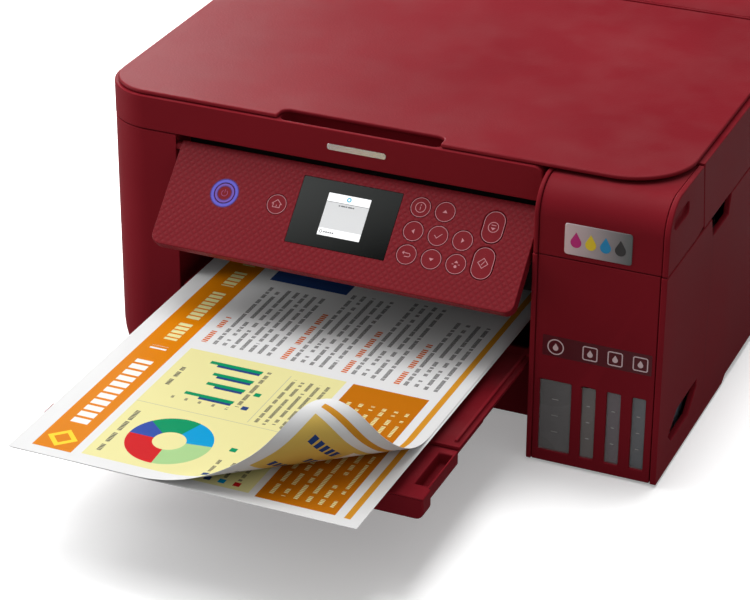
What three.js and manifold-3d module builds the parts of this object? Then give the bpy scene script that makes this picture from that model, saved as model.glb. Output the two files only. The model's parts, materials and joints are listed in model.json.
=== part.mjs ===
// Inkjet printer with refillable ink tanks, a flatbed scanner and a tilting control panel.
// Millimetres, +Z up, the front faces -Y. Inside the file y = 0 is the front face of the tank unit
// and z = 0 the table; the last lines move the whole object so that its box is centred on the origin.
import * as THREE from 'three';
import { mergeVertices } from 'three/addons/utils/BufferGeometryUtils.js';
import Module from 'manifold-3d';

const wasm = await Module();
wasm.setup();

// ---------------------------------------------------------------- driving dimensions
const bodyWidth = 375;
const bodyDepth = 347;
const bodyHeight = 187;
const wall = 3;
const gap = 0.3; // between fixed neighbours
const seam = 0.6; // between covers that move apart
const footHeight = 1.5;
const footRadius = 9;

const caseFront = 19; // front face of the left column and the scanner band
const caseCornerRadius = 33;
const scannerBottom = 162;
const sideSeam = 138.5; // seam round the tank unit and along the right-hand side
const rearStart = 283.6; // fixed rear section behind the lid
const rearCornerRadius = 14;
const rearWallDepth = 17;

const columnWidth = 54.3;
const columnDepth = 42; // how far back the column is closed on the paper side
const hullRise = 38; // height of the curved undercut along the left edge
const hullInset = 32;

const tankWidth = 81.5;
const tankDepth = 90;
const tankPlate = 3; // edge plates either side of the tank unit's front
const panelRecess = 0.9;
const grooveWidth = 0.5;
const grooveDepth = 2;
const windowLow = 9.3;
const windowHigh = 57;
const windowRadius = 1;
const coverDepth = 61.7;
const heelGap = 0.15; // play left where the cover's heel passes the case below it
const coverLean = 7.2; // its rear edge runs back towards the bottom, clear of the rising scanner unit
const coverTopDrop = 4; // top of the cover below the top of the body
const coverRadius = 21;

const lidThickness = 2.7;
const lidInset = 3.2;
const lidFront = 20.5;
const lidRear = 282;
const notchLeft = -65.5;
const notchRight = 39.7;
const notchDepth = 10.5;
const notchRadius = 5.5;
const pocketDepth = 13;

const glassWidth = 302;
const glassDepth = 213;
const glassThickness = 2.7;
const glassLedge = 1.5;
const deckWall = 2.2; // walls before and behind the glass

const panelLength = 67.3; // down the slope
const panelTilt = Math.PI / 4;
const panelTopY = 22;
const panelTopZ = 158;
const panelSideGap = 3.2;
const panelSkin = 3;
const panelSkirt = 8;
const panelDepth = 14;
const panelCornerRadius = 6;
const pivotRadius = 2.5;
const pivotOffset = 3;
const keyRadius = 6.3;
const keyThickness = 2.6;
const keyClearance = 0.35;
const keyDrop = 0.05; // key tops lie this far below the panel's face
const longKeyWidth = 13;
const longKeyLength = 20;

const lowerWallY = 47;
const lowerWallTop = 48;
const trayTop = 62.2;
const trayPlate = 2.4;
const trayFront = -100;
const trayRear = 14;
const trayRailEnd = 60;
const traySideGap = 5.5;
const lipFront = -155;
const lipDepth = 11;
const lipDrop = 14;

const pageWidth = 210;
const pageLength = 297;
const pageStack = 0.8;
const pageHeight = 67;
const pageRear = 89;

const ejectRollerRadius = 2.1;
const ejectRollerY = 75;
const feedRollerRadius = 6;
const feedRollerY = 155;
const carriageWidth = 44;
const carriageDepth = 44;

const flapWidth = 300;
const flapThickness = 3.2;
const chuteTilt = Math.PI / 6; // from the vertical
const chuteLength = 112;
const chuteWidth = 240;

// ---------------------------------------------------------------- places worked out from them
const halfWidth = bodyWidth / 2;
const caseBottom = footHeight + gap;
const caseTop = scannerBottom - gap;
const tankTop = sideSeam - gap;
const columnRight = -halfWidth + columnWidth;
const tankLeft = halfWidth - tankWidth;
const plateInner = halfWidth - tankPlate - 0.8;
const scannerFront = caseFront - 0.25;
const bandRight = tankLeft - 2;
const lidTop = bodyHeight;
const lidBottom = lidTop - lidThickness;
const rimTop = lidBottom - gap;
const deckTop = rimTop - 3;
const scannerRear = rearStart - 2.8;
const scannerNotch = coverDepth + 0.8; // the scanner unit steps back behind the tank cover
const coverTop = bodyHeight - coverTopDrop;
const glassFront = scannerNotch + deckWall + gap;
const rearWallFront = bodyDepth - rearWallDepth;
const pageFront = pageRear - pageLength;
const slotCentre = (columnRight + tankLeft) / 2;

// ---------------------------------------------------------------- materials
const burgundy = new THREE.MeshStandardMaterial({ color: 0x6a1220, roughness: 0.5, metalness: 0 });
const darkPlastic = new THREE.MeshStandardMaterial({ color: 0x1b1718, roughness: 0.6, metalness: 0 });
const blackGloss = new THREE.MeshStandardMaterial({ color: 0x15171a, roughness: 0.12, metalness: 0 });
const screenLight = new THREE.MeshStandardMaterial({ color: 0xd7dadb, roughness: 0.3, metalness: 0 });
const keyTop = new THREE.MeshStandardMaterial({ color: 0x6d1622, roughness: 0.45, metalness: 0 });
const whitePad = new THREE.MeshStandardMaterial({ color: 0xececea, roughness: 0.8, metalness: 0 });
const clearGlass = new THREE.MeshStandardMaterial({ color: 0xcfe0e2, roughness: 0.05, metalness: 0 });
const steel = new THREE.MeshStandardMaterial({ color: 0x9a9c9e, roughness: 0.35, metalness: 1 });
const rubber = new THREE.MeshStandardMaterial({ color: 0x1a1a1a, roughness: 0.9, metalness: 0 });
const boardGreen = new THREE.MeshStandardMaterial({ color: 0x1f5a35, roughness: 0.6, metalness: 0 });
const paper = new THREE.MeshStandardMaterial({ color: 0xf4f4f1, roughness: 0.85, metalness: 0 });
const inkColours = {
  black: new THREE.MeshStandardMaterial({ color: 0x4c4747, roughness: 0.25, metalness: 0 }),
  yellow: new THREE.MeshStandardMaterial({ color: 0x7d6a60, roughness: 0.25, metalness: 0 }),
  magenta: new THREE.MeshStandardMaterial({ color: 0x7a5262, roughness: 0.25, metalness: 0 }),
  cyan: new THREE.MeshStandardMaterial({ color: 0x536776, roughness: 0.25, metalness: 0 }),
};

// ---------------------------------------------------------------- shape helpers
function toSolid(geometry) {
  const bare = geometry.clone();
  bare.deleteAttribute('normal');
  bare.deleteAttribute('uv');
  const merged = mergeVertices(bare, 1e-4);
  return new wasm.Manifold(new wasm.Mesh({
    numProp: 3,
    vertProperties: new Float32Array(merged.attributes.position.array),
    triVerts: new Uint32Array(merged.index.array),
  }));
}

function toGeometry(solid) {
  const mesh = solid.getMesh();
  const geometry = new THREE.BufferGeometry();
  geometry.setAttribute('position', new THREE.BufferAttribute(mesh.vertProperties, 3));
  geometry.setIndex(new THREE.BufferAttribute(mesh.triVerts, 1));
  return geometry;
}

function cut(solid, ...tools) {
  return tools.reduce((rest, tool) => rest.subtract(tool), solid);
}

function join(solid, ...others) {
  return others.reduce((whole, other) => whole.add(other), solid);
}

function block(x0, x1, y0, y1, z0, z1) {
  const geometry = new THREE.BoxGeometry(x1 - x0, y1 - y0, z1 - z0);
  geometry.translate((x0 + x1) / 2, (y0 + y1) / 2, (z0 + z1) / 2);
  return toSolid(geometry);
}

// An outline in the XY plane, raised from z0 to z1.
function raise(shape, z0, z1, curveSegments = 6) {
  const geometry = new THREE.ExtrudeGeometry(shape, { depth: z1 - z0, bevelEnabled: false, curveSegments });
  geometry.translate(0, 0, z0);
  return toSolid(geometry);
}

// An outline drawn as (y, z), run from x0 to x1.
function alongX(shape, x0, x1, curveSegments = 6) {
  const geometry = new THREE.ExtrudeGeometry(shape, { depth: x1 - x0, bevelEnabled: false, curveSegments });
  const turn = new THREE.Matrix4().set(0, 0, 1, x0, 1, 0, 0, 0, 0, 1, 0, 0, 0, 0, 0, 1);
  geometry.applyMatrix4(turn);
  return toSolid(geometry);
}

// An outline drawn as (x, z), run from y0 to y1.
function alongY(shape, y0, y1, curveSegments = 6) {
  const geometry = new THREE.ExtrudeGeometry(shape, { depth: y1 - y0, bevelEnabled: false, curveSegments });
  geometry.rotateX(Math.PI / 2);
  geometry.translate(0, y1, 0);
  return toSolid(geometry);
}

function polygon(points) {
  return new THREE.Shape(points.map(([u, v]) => new THREE.Vector2(u, v)));
}

// A rectangle with its own radius at each corner: low-low, high-low, high-high, low-high.
function roundedRect(u0, u1, v0, v1, radii) {
  const [a, b, c, d] = Array.isArray(radii) ? radii : [radii, radii, radii, radii];
  const shape = new THREE.Shape();
  shape.moveTo(u0 + a, v0);
  shape.lineTo(u1 - b, v0);
  if (b > 0) shape.absarc(u1 - b, v0 + b, b, -Math.PI / 2, 0, false);
  shape.lineTo(u1, v1 - c);
  if (c > 0) shape.absarc(u1 - c, v1 - c, c, 0, Math.PI / 2, false);
  shape.lineTo(u0 + d, v1);
  if (d > 0) shape.absarc(u0 + d, v1 - d, d, Math.PI / 2, Math.PI, false);
  shape.lineTo(u0, v0 + a);
  if (a > 0) shape.absarc(u0 + a, v0 + a, a, Math.PI, Math.PI * 1.5, false);
  return shape;
}

function rod(radius, x0, x1, y, z, segments = 20) {
  const geometry = new THREE.CylinderGeometry(radius, radius, x1 - x0, segments);
  geometry.rotateZ(Math.PI / 2);
  geometry.translate((x0 + x1) / 2, y, z);
  return toSolid(geometry);
}

function post(radius, x, y, z0, z1, segments = 20) {
  const geometry = new THREE.CylinderGeometry(radius, radius, z1 - z0, segments);
  geometry.rotateX(Math.PI / 2);
  geometry.translate(x, y, (z0 + z1) / 2);
  return toSolid(geometry);
}

function place(parent, name, solid, material, position = [0, 0, 0]) {
  const mesh = new THREE.Mesh(toGeometry(solid), material);
  mesh.name = name;
  mesh.position.set(...position);
  parent.add(mesh);
}

const printer = new THREE.Group();

// ---------------------------------------------------------------- case
// Left side: front column, side wall with its curved lower edge, and the floor under them.
function leftHullProfile(inset) {
  const shape = new THREE.Shape();
  const left = -halfWidth + inset;
  const low = caseBottom + inset;
  shape.moveTo(columnRight, low);
  shape.lineTo(columnRight, caseTop + inset);
  shape.lineTo(left, caseTop + inset);
  shape.lineTo(left, caseBottom + hullRise);
  shape.absellipse(
    -halfWidth + hullInset, caseBottom + hullRise, hullInset - inset, hullRise - inset,
    Math.PI, Math.PI * 1.5, false, 0,
  );
  return shape;
}

function buildLeftCase() {
  const rear = rearWallFront - gap;
  const outerPlan = roundedRect(-halfWidth, columnRight, caseFront, rear, [caseCornerRadius, 0, 0, 0]);
  const innerPlan = roundedRect(
    -halfWidth + wall, columnRight - wall, caseFront + wall, rear - wall,
    [caseCornerRadius - wall, 0, 0, 0],
  );
  const outer = raise(outerPlan, caseBottom, caseTop, 8)
    .intersect(alongY(leftHullProfile(0), caseFront, rear, 8));
  const hollow = raise(innerPlan, caseBottom, caseTop + wall, 8)
    .intersect(alongY(leftHullProfile(wall), caseFront, rear, 8));
  const openSide = block(
    columnRight - 2 * wall, columnRight + wall, caseFront + columnDepth, rear - wall, caseBottom + wall, caseTop + wall,
  );
  const pivotHole = rod(pivotRadius + 0.4, columnRight - 2 * wall, columnRight + wall, pivotY, pivotZ);
  const inletHole = block(
    inletX - inletHalfWidth - 1, inletX + inletHalfWidth + 1, rear - 2 * wall, rear + 1,
    inletZ - inletHalfHeight - 1, inletZ + inletHalfHeight + 1,
  );
  place(printer, 'left_case', cut(outer, hollow, openSide, pivotHole, inletHole), burgundy);
}

// Right side: one plate, with the ink window, the grip under the scanner unit and a step along its foot.
const gripFront = 86;
const gripRear = 126;
const gripHeight = 13;
const sideWindow = [[21, 24], [27, 18], [60, 18], [75, 30], [75, 35], [36, 35]];
const rearStep = 3;
const rearStepFront = 134;
const rearStepSlope = 7;

function buildRightCase() {
  const rear = rearWallFront - gap;
  const plate = block(plateInner, halfWidth, 0, rear, caseBottom, tankTop);
  const window = alongX(polygon(sideWindow), plateInner - 1, halfWidth + 1);
  const grip = alongX(polygon([
    [gripFront + 4, tankTop - gripHeight], [gripRear - 4, tankTop - gripHeight],
    [gripRear, tankTop + 1], [gripFront, tankTop + 1],
  ]), plateInner - 1, halfWidth + 1);
  const step = alongX(polygon([
    [rearStepFront, caseBottom - 1], [rearStepFront + rearStepSlope, caseBottom + rearStep],
    [rear + 1, caseBottom + rearStep], [rear + 1, caseBottom - 1],
  ]), plateInner - 1, halfWidth + 1);
  place(printer, 'right_case', cut(plate, window, grip, step), burgundy);
}

// Rear section: the fixed deck behind the lid, its side walls and the back wall with its sockets.
const flapFront = rearStart + wall;
const flapRear = bodyDepth - 4;
const flapRadii = [4, 4, 0.8, 0.8];
const flapPocketFloor = bodyHeight - 7;
const throatHalf = 112;
const inletX = -halfWidth + 37.5;
const inletZ = 32;
const inletHalfWidth = 12;
const inletHalfHeight = 8;
const portX = tankLeft + 34;
const portZ = 26;

function buildRearCase() {
  const plan = roundedRect(
    -halfWidth, halfWidth, rearStart, bodyDepth, [0, 0, rearCornerRadius, rearCornerRadius],
  );
  const innerRear = bodyDepth - wall;
  const inner = roundedRect(
    -halfWidth + wall, halfWidth - wall, rearStart + wall, innerRear,
    [0, 0, rearCornerRadius - wall, rearCornerRadius - wall],
  );
  const deckBottom = flapPocketFloor - wall;
  const shell = cut(
    raise(plan, caseBottom, bodyHeight),
    raise(inner, caseBottom - 1, deckBottom),
    block(-halfWidth - 1, plateInner, rearStart - 1, rearWallFront, 0, scannerBottom + gap),
    block(-halfWidth + columnWidth, halfWidth + 1, rearStart - 1, rearWallFront, 0, sideSeam + gap),
  );
  const flapPocket = raise(
    roundedRect(-flapWidth / 2 - seam, flapWidth / 2 + seam, flapFront - seam, flapRear + seam, flapRadii),
    flapPocketFloor, bodyHeight + 1,
  );
  const throat = block(
    -throatHalf, throatHalf, rearStart + 10, bodyDepth - 8, deckBottom - 1, flapPocketFloor + 1,
  );
  const inletHole = block(
    inletX - inletHalfWidth - 0.4, inletX + inletHalfWidth + 0.4, innerRear - 1, bodyDepth + 1,
    inletZ - inletHalfHeight - 0.4, inletZ + inletHalfHeight + 0.4,
  );
  const portHole = block(portX - 6.4, portX + 6.4, innerRear - 1, bodyDepth + 1, portZ - 6, portZ + 6);
  place(printer, 'rear_case', cut(shell, flapPocket, throat, inletHole, portHole), burgundy);
}

// Floor, lower front wall and the inner walls that the output tray runs between.
const floorPlate = 2.5;
const ribWidth = 2;
const ribRear = 220;
const ribTop = 54;

function buildBaseCase() {
  const left = columnRight + gap;
  const right = tankLeft - gap;
  const rear = rearWallFront - gap;
  const floor = block(left, right, lowerWallY, rear, caseBottom, caseBottom + floorPlate);
  const behindTanks = block(
    right - 1, plateInner - gap, tankDepth + gap, rear, caseBottom, caseBottom + floorPlate,
  );
  const frontWall = block(left, right, lowerWallY, lowerWallY + wall, caseBottom, lowerWallTop);
  const ribs = [left, right - ribWidth].map(
    (x) => block(x, x + ribWidth, lowerWallY, ribRear, caseBottom, ribTop),
  );
  place(printer, 'base_case', join(floor, behindTanks, frontWall, ...ribs), burgundy);
}

// Dark wall behind the control panel, with a lintel over the paper outlet.
const framePlateY = 38;
const lintelZ = 93;

function buildFrontFrame() {
  const left = columnRight + gap;
  const right = tankLeft - gap;
  const upright = block(left, right, framePlateY, framePlateY + wall, lintelZ, caseTop);
  const lintel = block(left, right, framePlateY, framePlateY + 30, lintelZ, lintelZ + wall);
  const ear = cut(
    block(panelRight + 0.4, right, pivotY - 5, framePlateY + 1, pivotZ - 5, pivotZ + 4),
    rod(pivotRadius + 0.4, panelRight, right + 1, pivotY, pivotZ),
  );
  place(printer, 'front_frame', join(upright, lintel, ear), darkPlastic);
}

function buildFeet() {
  const spots = {
    front_left: [columnRight - 14, caseFront + 45], front_right: [halfWidth - 24, 26],
    rear_left: [columnRight - 14, bodyDepth - 40], rear_right: [halfWidth - 24, bodyDepth - 40],
  };
  for (const [side, [x, y]] of Object.entries(spots)) {
    const disc = new THREE.CylinderGeometry(footRadius, footRadius, footHeight, 20);
    disc.rotateX(Math.PI / 2);
    place(printer, `foot_${side}`, toSolid(disc), rubber, [x, y, footHeight / 2]);
  }
}

// ---------------------------------------------------------------- ink tank unit
const tanks = [
  { ink: 'black', share: 0.2067, windowWidth: 19.7 },
  { ink: 'yellow', share: 0.4601, windowWidth: 8.6 },
  { ink: 'magenta', share: 0.6491, windowWidth: 8.6 },
  { ink: 'cyan', share: 0.8393, windowWidth: 8.4 },
];
const tankSideMargin = 2;
const neckY = 24;
const neckRadius = 5;
const neckTop = tankTop + 4;
const capHingeY = 46;
const capWidth = 11;
const capHeight = 7;
const coverHingeY = coverDepth - 5.7;
const coverHingeZ = coverTop - 5.7;

// Each tank stands at a share of the unit's width, so the unit can grow or move as one.
const tankPlaces = tanks.map(({ ink, share, windowWidth }) => ({
  ink, windowWidth, x: tankLeft + share * tankWidth,
}));

function buildTankHousing() {
  const left = tankLeft;
  const right = plateInner - seam;
  const face = panelRecess;
  const outer = block(left, right, 0, tankDepth, caseBottom, tankTop);
  const recess = block(left + tankPlate, right + 1, -1, face, caseBottom - 1, tankTop + 1);
  const groove = block(
    left + tankPlate, left + tankPlate + grooveWidth, -1, grooveDepth, caseBottom - 1, tankTop + 1,
  );
  const hollow = block(
    left + tankPlate, right + 1, face + wall, tankDepth + 1, caseBottom + wall, tankTop - wall,
  );
  const windows = tankPlaces.map(({ x, windowWidth }) => alongY(
    roundedRect(x - windowWidth / 2, x + windowWidth / 2, windowLow, windowHigh, windowRadius),
    -1, face + wall + 1, 3,
  ));
  const neckHoles = tankPlaces.map(
    ({ x }) => post(neckRadius + 0.4, x, neckY, tankTop - wall - 1, tankTop + 1, 16),
  );
  const ears = [left + tankPlate + 1.5, right - 5.5].map((x) => join(
    block(x, x + 4, coverHingeY - 4, coverHingeY + 1.8, tankTop - wall, coverHingeZ),
    rod(1.8, x - 3, x + 8, coverHingeY, coverHingeZ, 12),
  ));
  const housing = cut(outer, recess, groove, hollow, ...windows, ...neckHoles);
  place(printer, 'tank_housing', join(housing, ...ears), burgundy);
}

function buildTank({ ink, x, windowWidth }) {
  const half = windowWidth / 2 + tankSideMargin;
  const body = block(
    x - half, x + half, panelRecess + wall + gap, tankDepth - 12, caseBottom + wall + gap, tankTop - wall - 4,
  );
  const neck = post(neckRadius, x, neckY, tankTop - wall - 5, neckTop, 16);
  const port = post(2, x, neckY, neckTop - 12, neckTop + 1, 12);
  place(printer, `ink_tank_${ink}`, cut(join(body, neck), port), inkColours[ink]);
}

function buildTankCap({ ink, x }) {
  const hinge = tankTop + gap + 3;
  const low = neckTop + gap;
  const lever = block(-capWidth / 2, capWidth / 2, neckY - 8, capHingeY, low, low + capHeight - 3);
  const grip = block(-capWidth / 2, capWidth / 2, neckY - 12, neckY - 7, low, low + capHeight);
  const knuckle = rod(2.4, -capWidth / 2, capWidth / 2, capHingeY, hinge, 12);
  const web = block(-capWidth / 2, capWidth / 2, capHingeY - 2, capHingeY + 2, hinge, low + 1);
  const plug = post(1.6, 0, neckY, low - 2, low + 1, 12);
  place(printer, `tank_cap_${ink}`, join(lever, grip, knuckle, web, plug), inkColours[ink], [x, 0, 0]);
}

// How far the cover's rear edge has run back at a height z.
function leanAt(z) {
  return coverLean * (coverTop - z) / (coverTop - sideSeam);
}

// Side profile of the cover, drawn as (y, z): front face, rounded shoulder and flat top. Behind the hinge
// its lower edge rises, because that part swings down as the cover opens.
function coverProfile(inset, rear, low) {
  const high = coverTop - inset;
  const centreZ = coverTop - coverRadius;
  const heel = rear + leanAt(low) - coverHingeY;
  const shape = new THREE.Shape();
  shape.moveTo(inset, low);
  shape.lineTo(coverHingeY, low);
  shape.lineTo(coverHingeY + heel, low + heel * heel / (2 * (coverHingeZ - low)) + heelGap);
  shape.lineTo(rear + leanAt(high), high);
  shape.lineTo(coverRadius, high);
  shape.absarc(coverRadius, centreZ, coverRadius - inset, Math.PI / 2, Math.PI, false);
  return shape;
}

function buildTankCover() {
  const left = tankLeft + gap;
  const low = tankTop + seam;
  const leftPlate = left + tankPlate - gap;
  const rightPlate = plateInner + gap;
  const sections = [
    [left, leftPlate, 0], [leftPlate, leftPlate + grooveWidth, grooveDepth],
    [leftPlate + grooveWidth, rightPlate - grooveWidth, panelRecess],
    [rightPlate - grooveWidth, rightPlate, grooveDepth], [rightPlate, halfWidth, 0],
  ];
  const outer = sections
    .map(([x0, x1, inset]) => alongX(coverProfile(inset, coverDepth, low), x0, x1, 8))
    .reduce((whole, section) => whole.add(section));
  const hollow = alongX(coverProfile(grooveDepth + 1.5, coverDepth + 1, low - 1), leftPlate, rightPlate, 8);
  const scoop = alongX(roundedRect(8, 35, 165, 173, 3), halfWidth - 2.2, halfWidth + 1, 3);
  const hinge = rod(2.1, leftPlate - 1.8, rightPlate + 2, coverHingeY, coverHingeZ, 12);
  place(printer, 'tank_cover', cut(outer, hollow, scoop, hinge), burgundy);
}

// ---------------------------------------------------------------- scanner unit and lid
function buildScannerFrame() {
  const base = raise(
    roundedRect(-halfWidth, halfWidth, scannerFront, scannerRear, [caseCornerRadius, 0, 2, 2]),
    scannerBottom + gap, rimTop, 8,
  );
  const stepBack = (z) => [scannerNotch + leanAt(z), z];
  const tankCorner = alongX(polygon([
    [scannerFront - 1, scannerBottom], stepBack(scannerBottom), stepBack(coverTop),
    [scannerNotch, rimTop + 1], [scannerFront - 1, rimTop + 1],
  ]), bandRight, halfWidth + 1);
  const skirt = alongX(polygon([
    stepBack(sideSeam + gap), [scannerRear, sideSeam + gap],
    [scannerRear, scannerBottom + 1], stepBack(scannerBottom + 1),
  ]), plateInner + gap, halfWidth);
  const cavityFloor = scannerBottom + 2 * wall;
  const cavityTop = deckTop - 5;
  const cavityRear = scannerRear - 2 * wall;
  const cavity = join(
    block(-halfWidth + 2 * wall, bandRight - 2 * wall, scannerFront + 22, cavityRear, cavityFloor, cavityTop),
    block(
      bandRight - 3 * wall, halfWidth - 2 * wall, scannerNotch + 2 * wall, cavityRear, cavityFloor, cavityTop,
    ),
  );
  const deckRecess = block(-155, 155, glassFront - 1, scannerRear + 1, deckTop, rimTop + 1);
  const rearRelief = block(
    -halfWidth - 1, halfWidth + 1, scannerRear - 4, scannerRear + 1, deckTop, rimTop + 1,
  );
  const glassSeat = block(
    -glassWidth / 2 - gap, glassWidth / 2 + gap, glassFront - gap, glassFront + glassDepth + gap,
    deckTop - glassThickness - gap, deckTop + 1,
  );
  const light = block(
    -glassWidth / 2 + wall, glassWidth / 2 - wall,
    glassFront + glassLedge, glassFront + glassDepth - glassLedge,
    cavityTop - 1, deckTop + 1,
  );
  const pocket = raise(
    roundedRect(notchLeft, notchRight, scannerFront + 2.5, lidFront + notchDepth + 3, notchRadius),
    rimTop - pocketDepth, rimTop + 1,
  );
  const bandEnd = cut(
    block(bandRight - 6, bandRight + 1, scannerFront - 1, scannerNotch - 1, rimTop - 6, rimTop + 1),
    rodAlongY(6, scannerFront - 2, scannerNotch, bandRight - 6, rimTop - 6),
  );
  const outer = join(cut(base, tankCorner), skirt);
  const frame = cut(outer, cavity, deckRecess, rearRelief, glassSeat, light, pocket, bandEnd);
  place(printer, 'scanner_frame', frame, burgundy);
}

function rodAlongY(radius, y0, y1, x, z) {
  const geometry = new THREE.CylinderGeometry(radius, radius, y1 - y0, 24);
  geometry.translate(x, (y0 + y1) / 2, z);
  return toSolid(geometry);
}

function buildScannerGlass() {
  const glass = block(
    -glassWidth / 2, glassWidth / 2, glassFront, glassFront + glassDepth, deckTop - glassThickness, deckTop,
  );
  place(printer, 'scanner_glass', glass, clearGlass);
}

function buildScanHead() {
  const width = 20;
  const low = scannerBottom + 2 * wall + 1;
  const bar = new THREE.BoxGeometry(width, glassDepth - 8, deckTop - 6 - low);
  const centre = [-glassWidth / 2 + wall + width, glassFront + glassDepth / 2, (deckTop - 6 + low) / 2];
  place(printer, 'scan_head', toSolid(bar), darkPlastic, centre);
}

function buildDocumentCover() {
  const outline = new THREE.Shape();
  const left = -halfWidth + lidInset;
  const right = halfWidth - lidInset - 0.3;
  const backOfNotch = lidFront + notchDepth;
  const r = notchRadius;
  const leftRadius = caseCornerRadius - lidInset;
  const rightRadius = 40;
  outline.moveTo(left + leftRadius, lidFront);
  outline.lineTo(notchLeft, lidFront);
  outline.lineTo(notchLeft, backOfNotch - r);
  outline.absarc(notchLeft + r, backOfNotch - r, r, Math.PI, Math.PI / 2, true);
  outline.lineTo(notchRight - r, backOfNotch);
  outline.absarc(notchRight - r, backOfNotch - r, r, Math.PI / 2, 0, true);
  outline.lineTo(notchRight, lidFront);
  outline.lineTo(right - rightRadius, lidFront);
  outline.absarc(right - rightRadius, lidFront + rightRadius, rightRadius, -Math.PI / 2, 0, false);
  outline.lineTo(right, lidRear);
  outline.lineTo(left, lidRear);
  outline.lineTo(left, lidFront + leftRadius);
  outline.absarc(left + leftRadius, lidFront + leftRadius, leftRadius, Math.PI, Math.PI * 1.5, false);
  place(printer, 'document_cover', raise(outline, lidBottom, lidTop, 8), burgundy);
}

function buildCoverPad() {
  const padHalf = glassWidth / 2 + 1;
  const pad = block(
    -padHalf, padHalf, glassFront + gap, glassFront + glassDepth - gap, deckTop + gap, lidBottom - 0.1,
  );
  place(printer, 'cover_pad', pad, whitePad);
}

// ---------------------------------------------------------------- control panel
// The panel's own frame: x across, -y down the slope from its top edge, +z out of its face.
const panel = new THREE.Group();
panel.position.set(0, panelTopY, panelTopZ);
panel.rotation.x = panelTilt;
printer.add(panel);

const panelLeft = columnRight + panelSideGap;
const panelRight = tankLeft - 2.2;
const pivotY = panelTopY + pivotOffset * (Math.sin(panelTilt) - Math.cos(panelTilt));
const pivotZ = panelTopZ - pivotOffset * (Math.sin(panelTilt) + Math.cos(panelTilt));

const display = { left: -45.3, right: 18.5, top: 8, bottom: 50.5 };
const screen = { left: -27, right: 0.3, top: 15.5, bottom: 42.5 };
const roundKeys = {
  power: [-92.3, 28.4], home: [-57.4, 29.1], help: [31.3, 14.2], up: [46.9, 14.2],
  left: [31.2, 29.4], ok: [46.8, 29.4], right: [62.3, 29.4],
  back: [31.3, 44.2], down: [46.9, 44.2], options: [62.4, 44.2],
};
const longKeys = { stop: [78.2, 17.9], start: [78.2, 40.6] };

function rectFrom({ left, right, top, bottom }, grow) {
  return roundedRect(left - grow, right + grow, -bottom - grow, -top + grow, 0.6);
}

function keyOutline(centreX, down, grow) {
  const shape = new THREE.Shape();
  shape.absarc(centreX, -down, keyRadius + grow, 0, Math.PI * 2, false);
  return shape;
}

function longKeyOutline(centreX, down, grow) {
  const halfW = longKeyWidth / 2 + grow;
  const halfL = longKeyLength / 2 + grow;
  return roundedRect(centreX - halfW, centreX + halfW, -down - halfL, -down + halfL, halfW - 0.01);
}

function buildPanelFront() {
  const radii = [panelCornerRadius, panelCornerRadius, 1, 1];
  const rimWall = 2.5;
  const outer = raise(roundedRect(panelLeft, panelRight, -panelLength, 0, radii), -panelSkirt, 0);
  const inner = raise(roundedRect(
    panelLeft + rimWall, panelRight - rimWall, -panelLength + rimWall, -rimWall,
    [panelCornerRadius - rimWall, panelCornerRadius - rimWall, 0, 0],
  ), -panelSkirt - 1, -panelSkin);
  const keyHoles = [
    ...Object.values(roundKeys).map(
      ([x, down]) => raise(keyOutline(x, down, keyClearance), -panelSkin - 1, 1, 10),
    ),
    ...Object.values(longKeys).map(
      ([x, down]) => raise(longKeyOutline(x, down, keyClearance), -panelSkin - 1, 1, 4),
    ),
  ];
  const displayHole = raise(rectFrom(display, 0.3), -panelSkin - 1, 1, 2);
  const stubs = [
    rod(pivotRadius, panelLeft - panelSideGap - 1.3, panelLeft + rimWall, -pivotOffset, -pivotOffset),
    rod(pivotRadius, panelRight - rimWall, tankLeft - 2 * gap, -pivotOffset, -pivotOffset),
  ];
  place(panel, 'panel_front', join(cut(outer, inner, displayHole, ...keyHoles), ...stubs), burgundy);
}

function buildPanelBack() {
  const inset = 2.5 + gap;
  const back = raise(roundedRect(
    panelLeft + inset + pivotRadius, panelRight - inset - pivotRadius,
    -panelLength + inset, -inset - pivotRadius - pivotOffset,
    [panelCornerRadius - inset, panelCornerRadius - inset, 0, 0],
  ), -panelDepth, -panelSkin - 1.8);
  place(panel, 'panel_back', back, darkPlastic);
}

function buildDisplay() {
  const bezel = cut(raise(rectFrom(display, 0), -2.2, -0.05, 2), raise(rectFrom(screen, 0.15), -3, 1, 2));
  place(panel, 'display_bezel', bezel, blackGloss);
  place(panel, 'display_screen', raise(rectFrom(screen, 0), -2.2, -0.1, 2), screenLight);
}

function buildKeys() {
  for (const [name, [x, down]] of Object.entries(roundKeys)) {
    const body = raise(keyOutline(0, 0, 0), -keyThickness, 0, 10);
    place(panel, `key_${name}`, body, keyTop, [x, -down, -keyDrop]);
  }
  for (const [name, [x, down]] of Object.entries(longKeys)) {
    const body = raise(longKeyOutline(0, 0, 0), -keyThickness, 0, 4);
    place(panel, `key_${name}`, body, keyTop, [x, -down, -keyDrop]);
  }
}

// ---------------------------------------------------------------- paper output
const trayLeft = columnRight + traySideGap;
const trayRight = tankLeft - 3.5;
const railWidth = 5;
const railRise = 1.8;
const pocketWidth = 8;

function buildOutputTray() {
  const low = trayTop - trayPlate;
  const plate = block(trayLeft, trayRight, trayFront, trayRear, low, trayTop);
  const rails = [trayLeft, trayRight - railWidth].map(
    (x) => block(x, x + railWidth, trayRear - 1, trayRailEnd, low, trayTop + railRise),
  );
  const kerbs = [trayLeft + 3, trayRight - 5].map(
    (x) => block(x, x + 2, trayFront + 4, trayRear, low, trayTop + railRise),
  );
  place(printer, 'output_tray', join(plate, ...rails, ...kerbs), burgundy);
}

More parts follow.
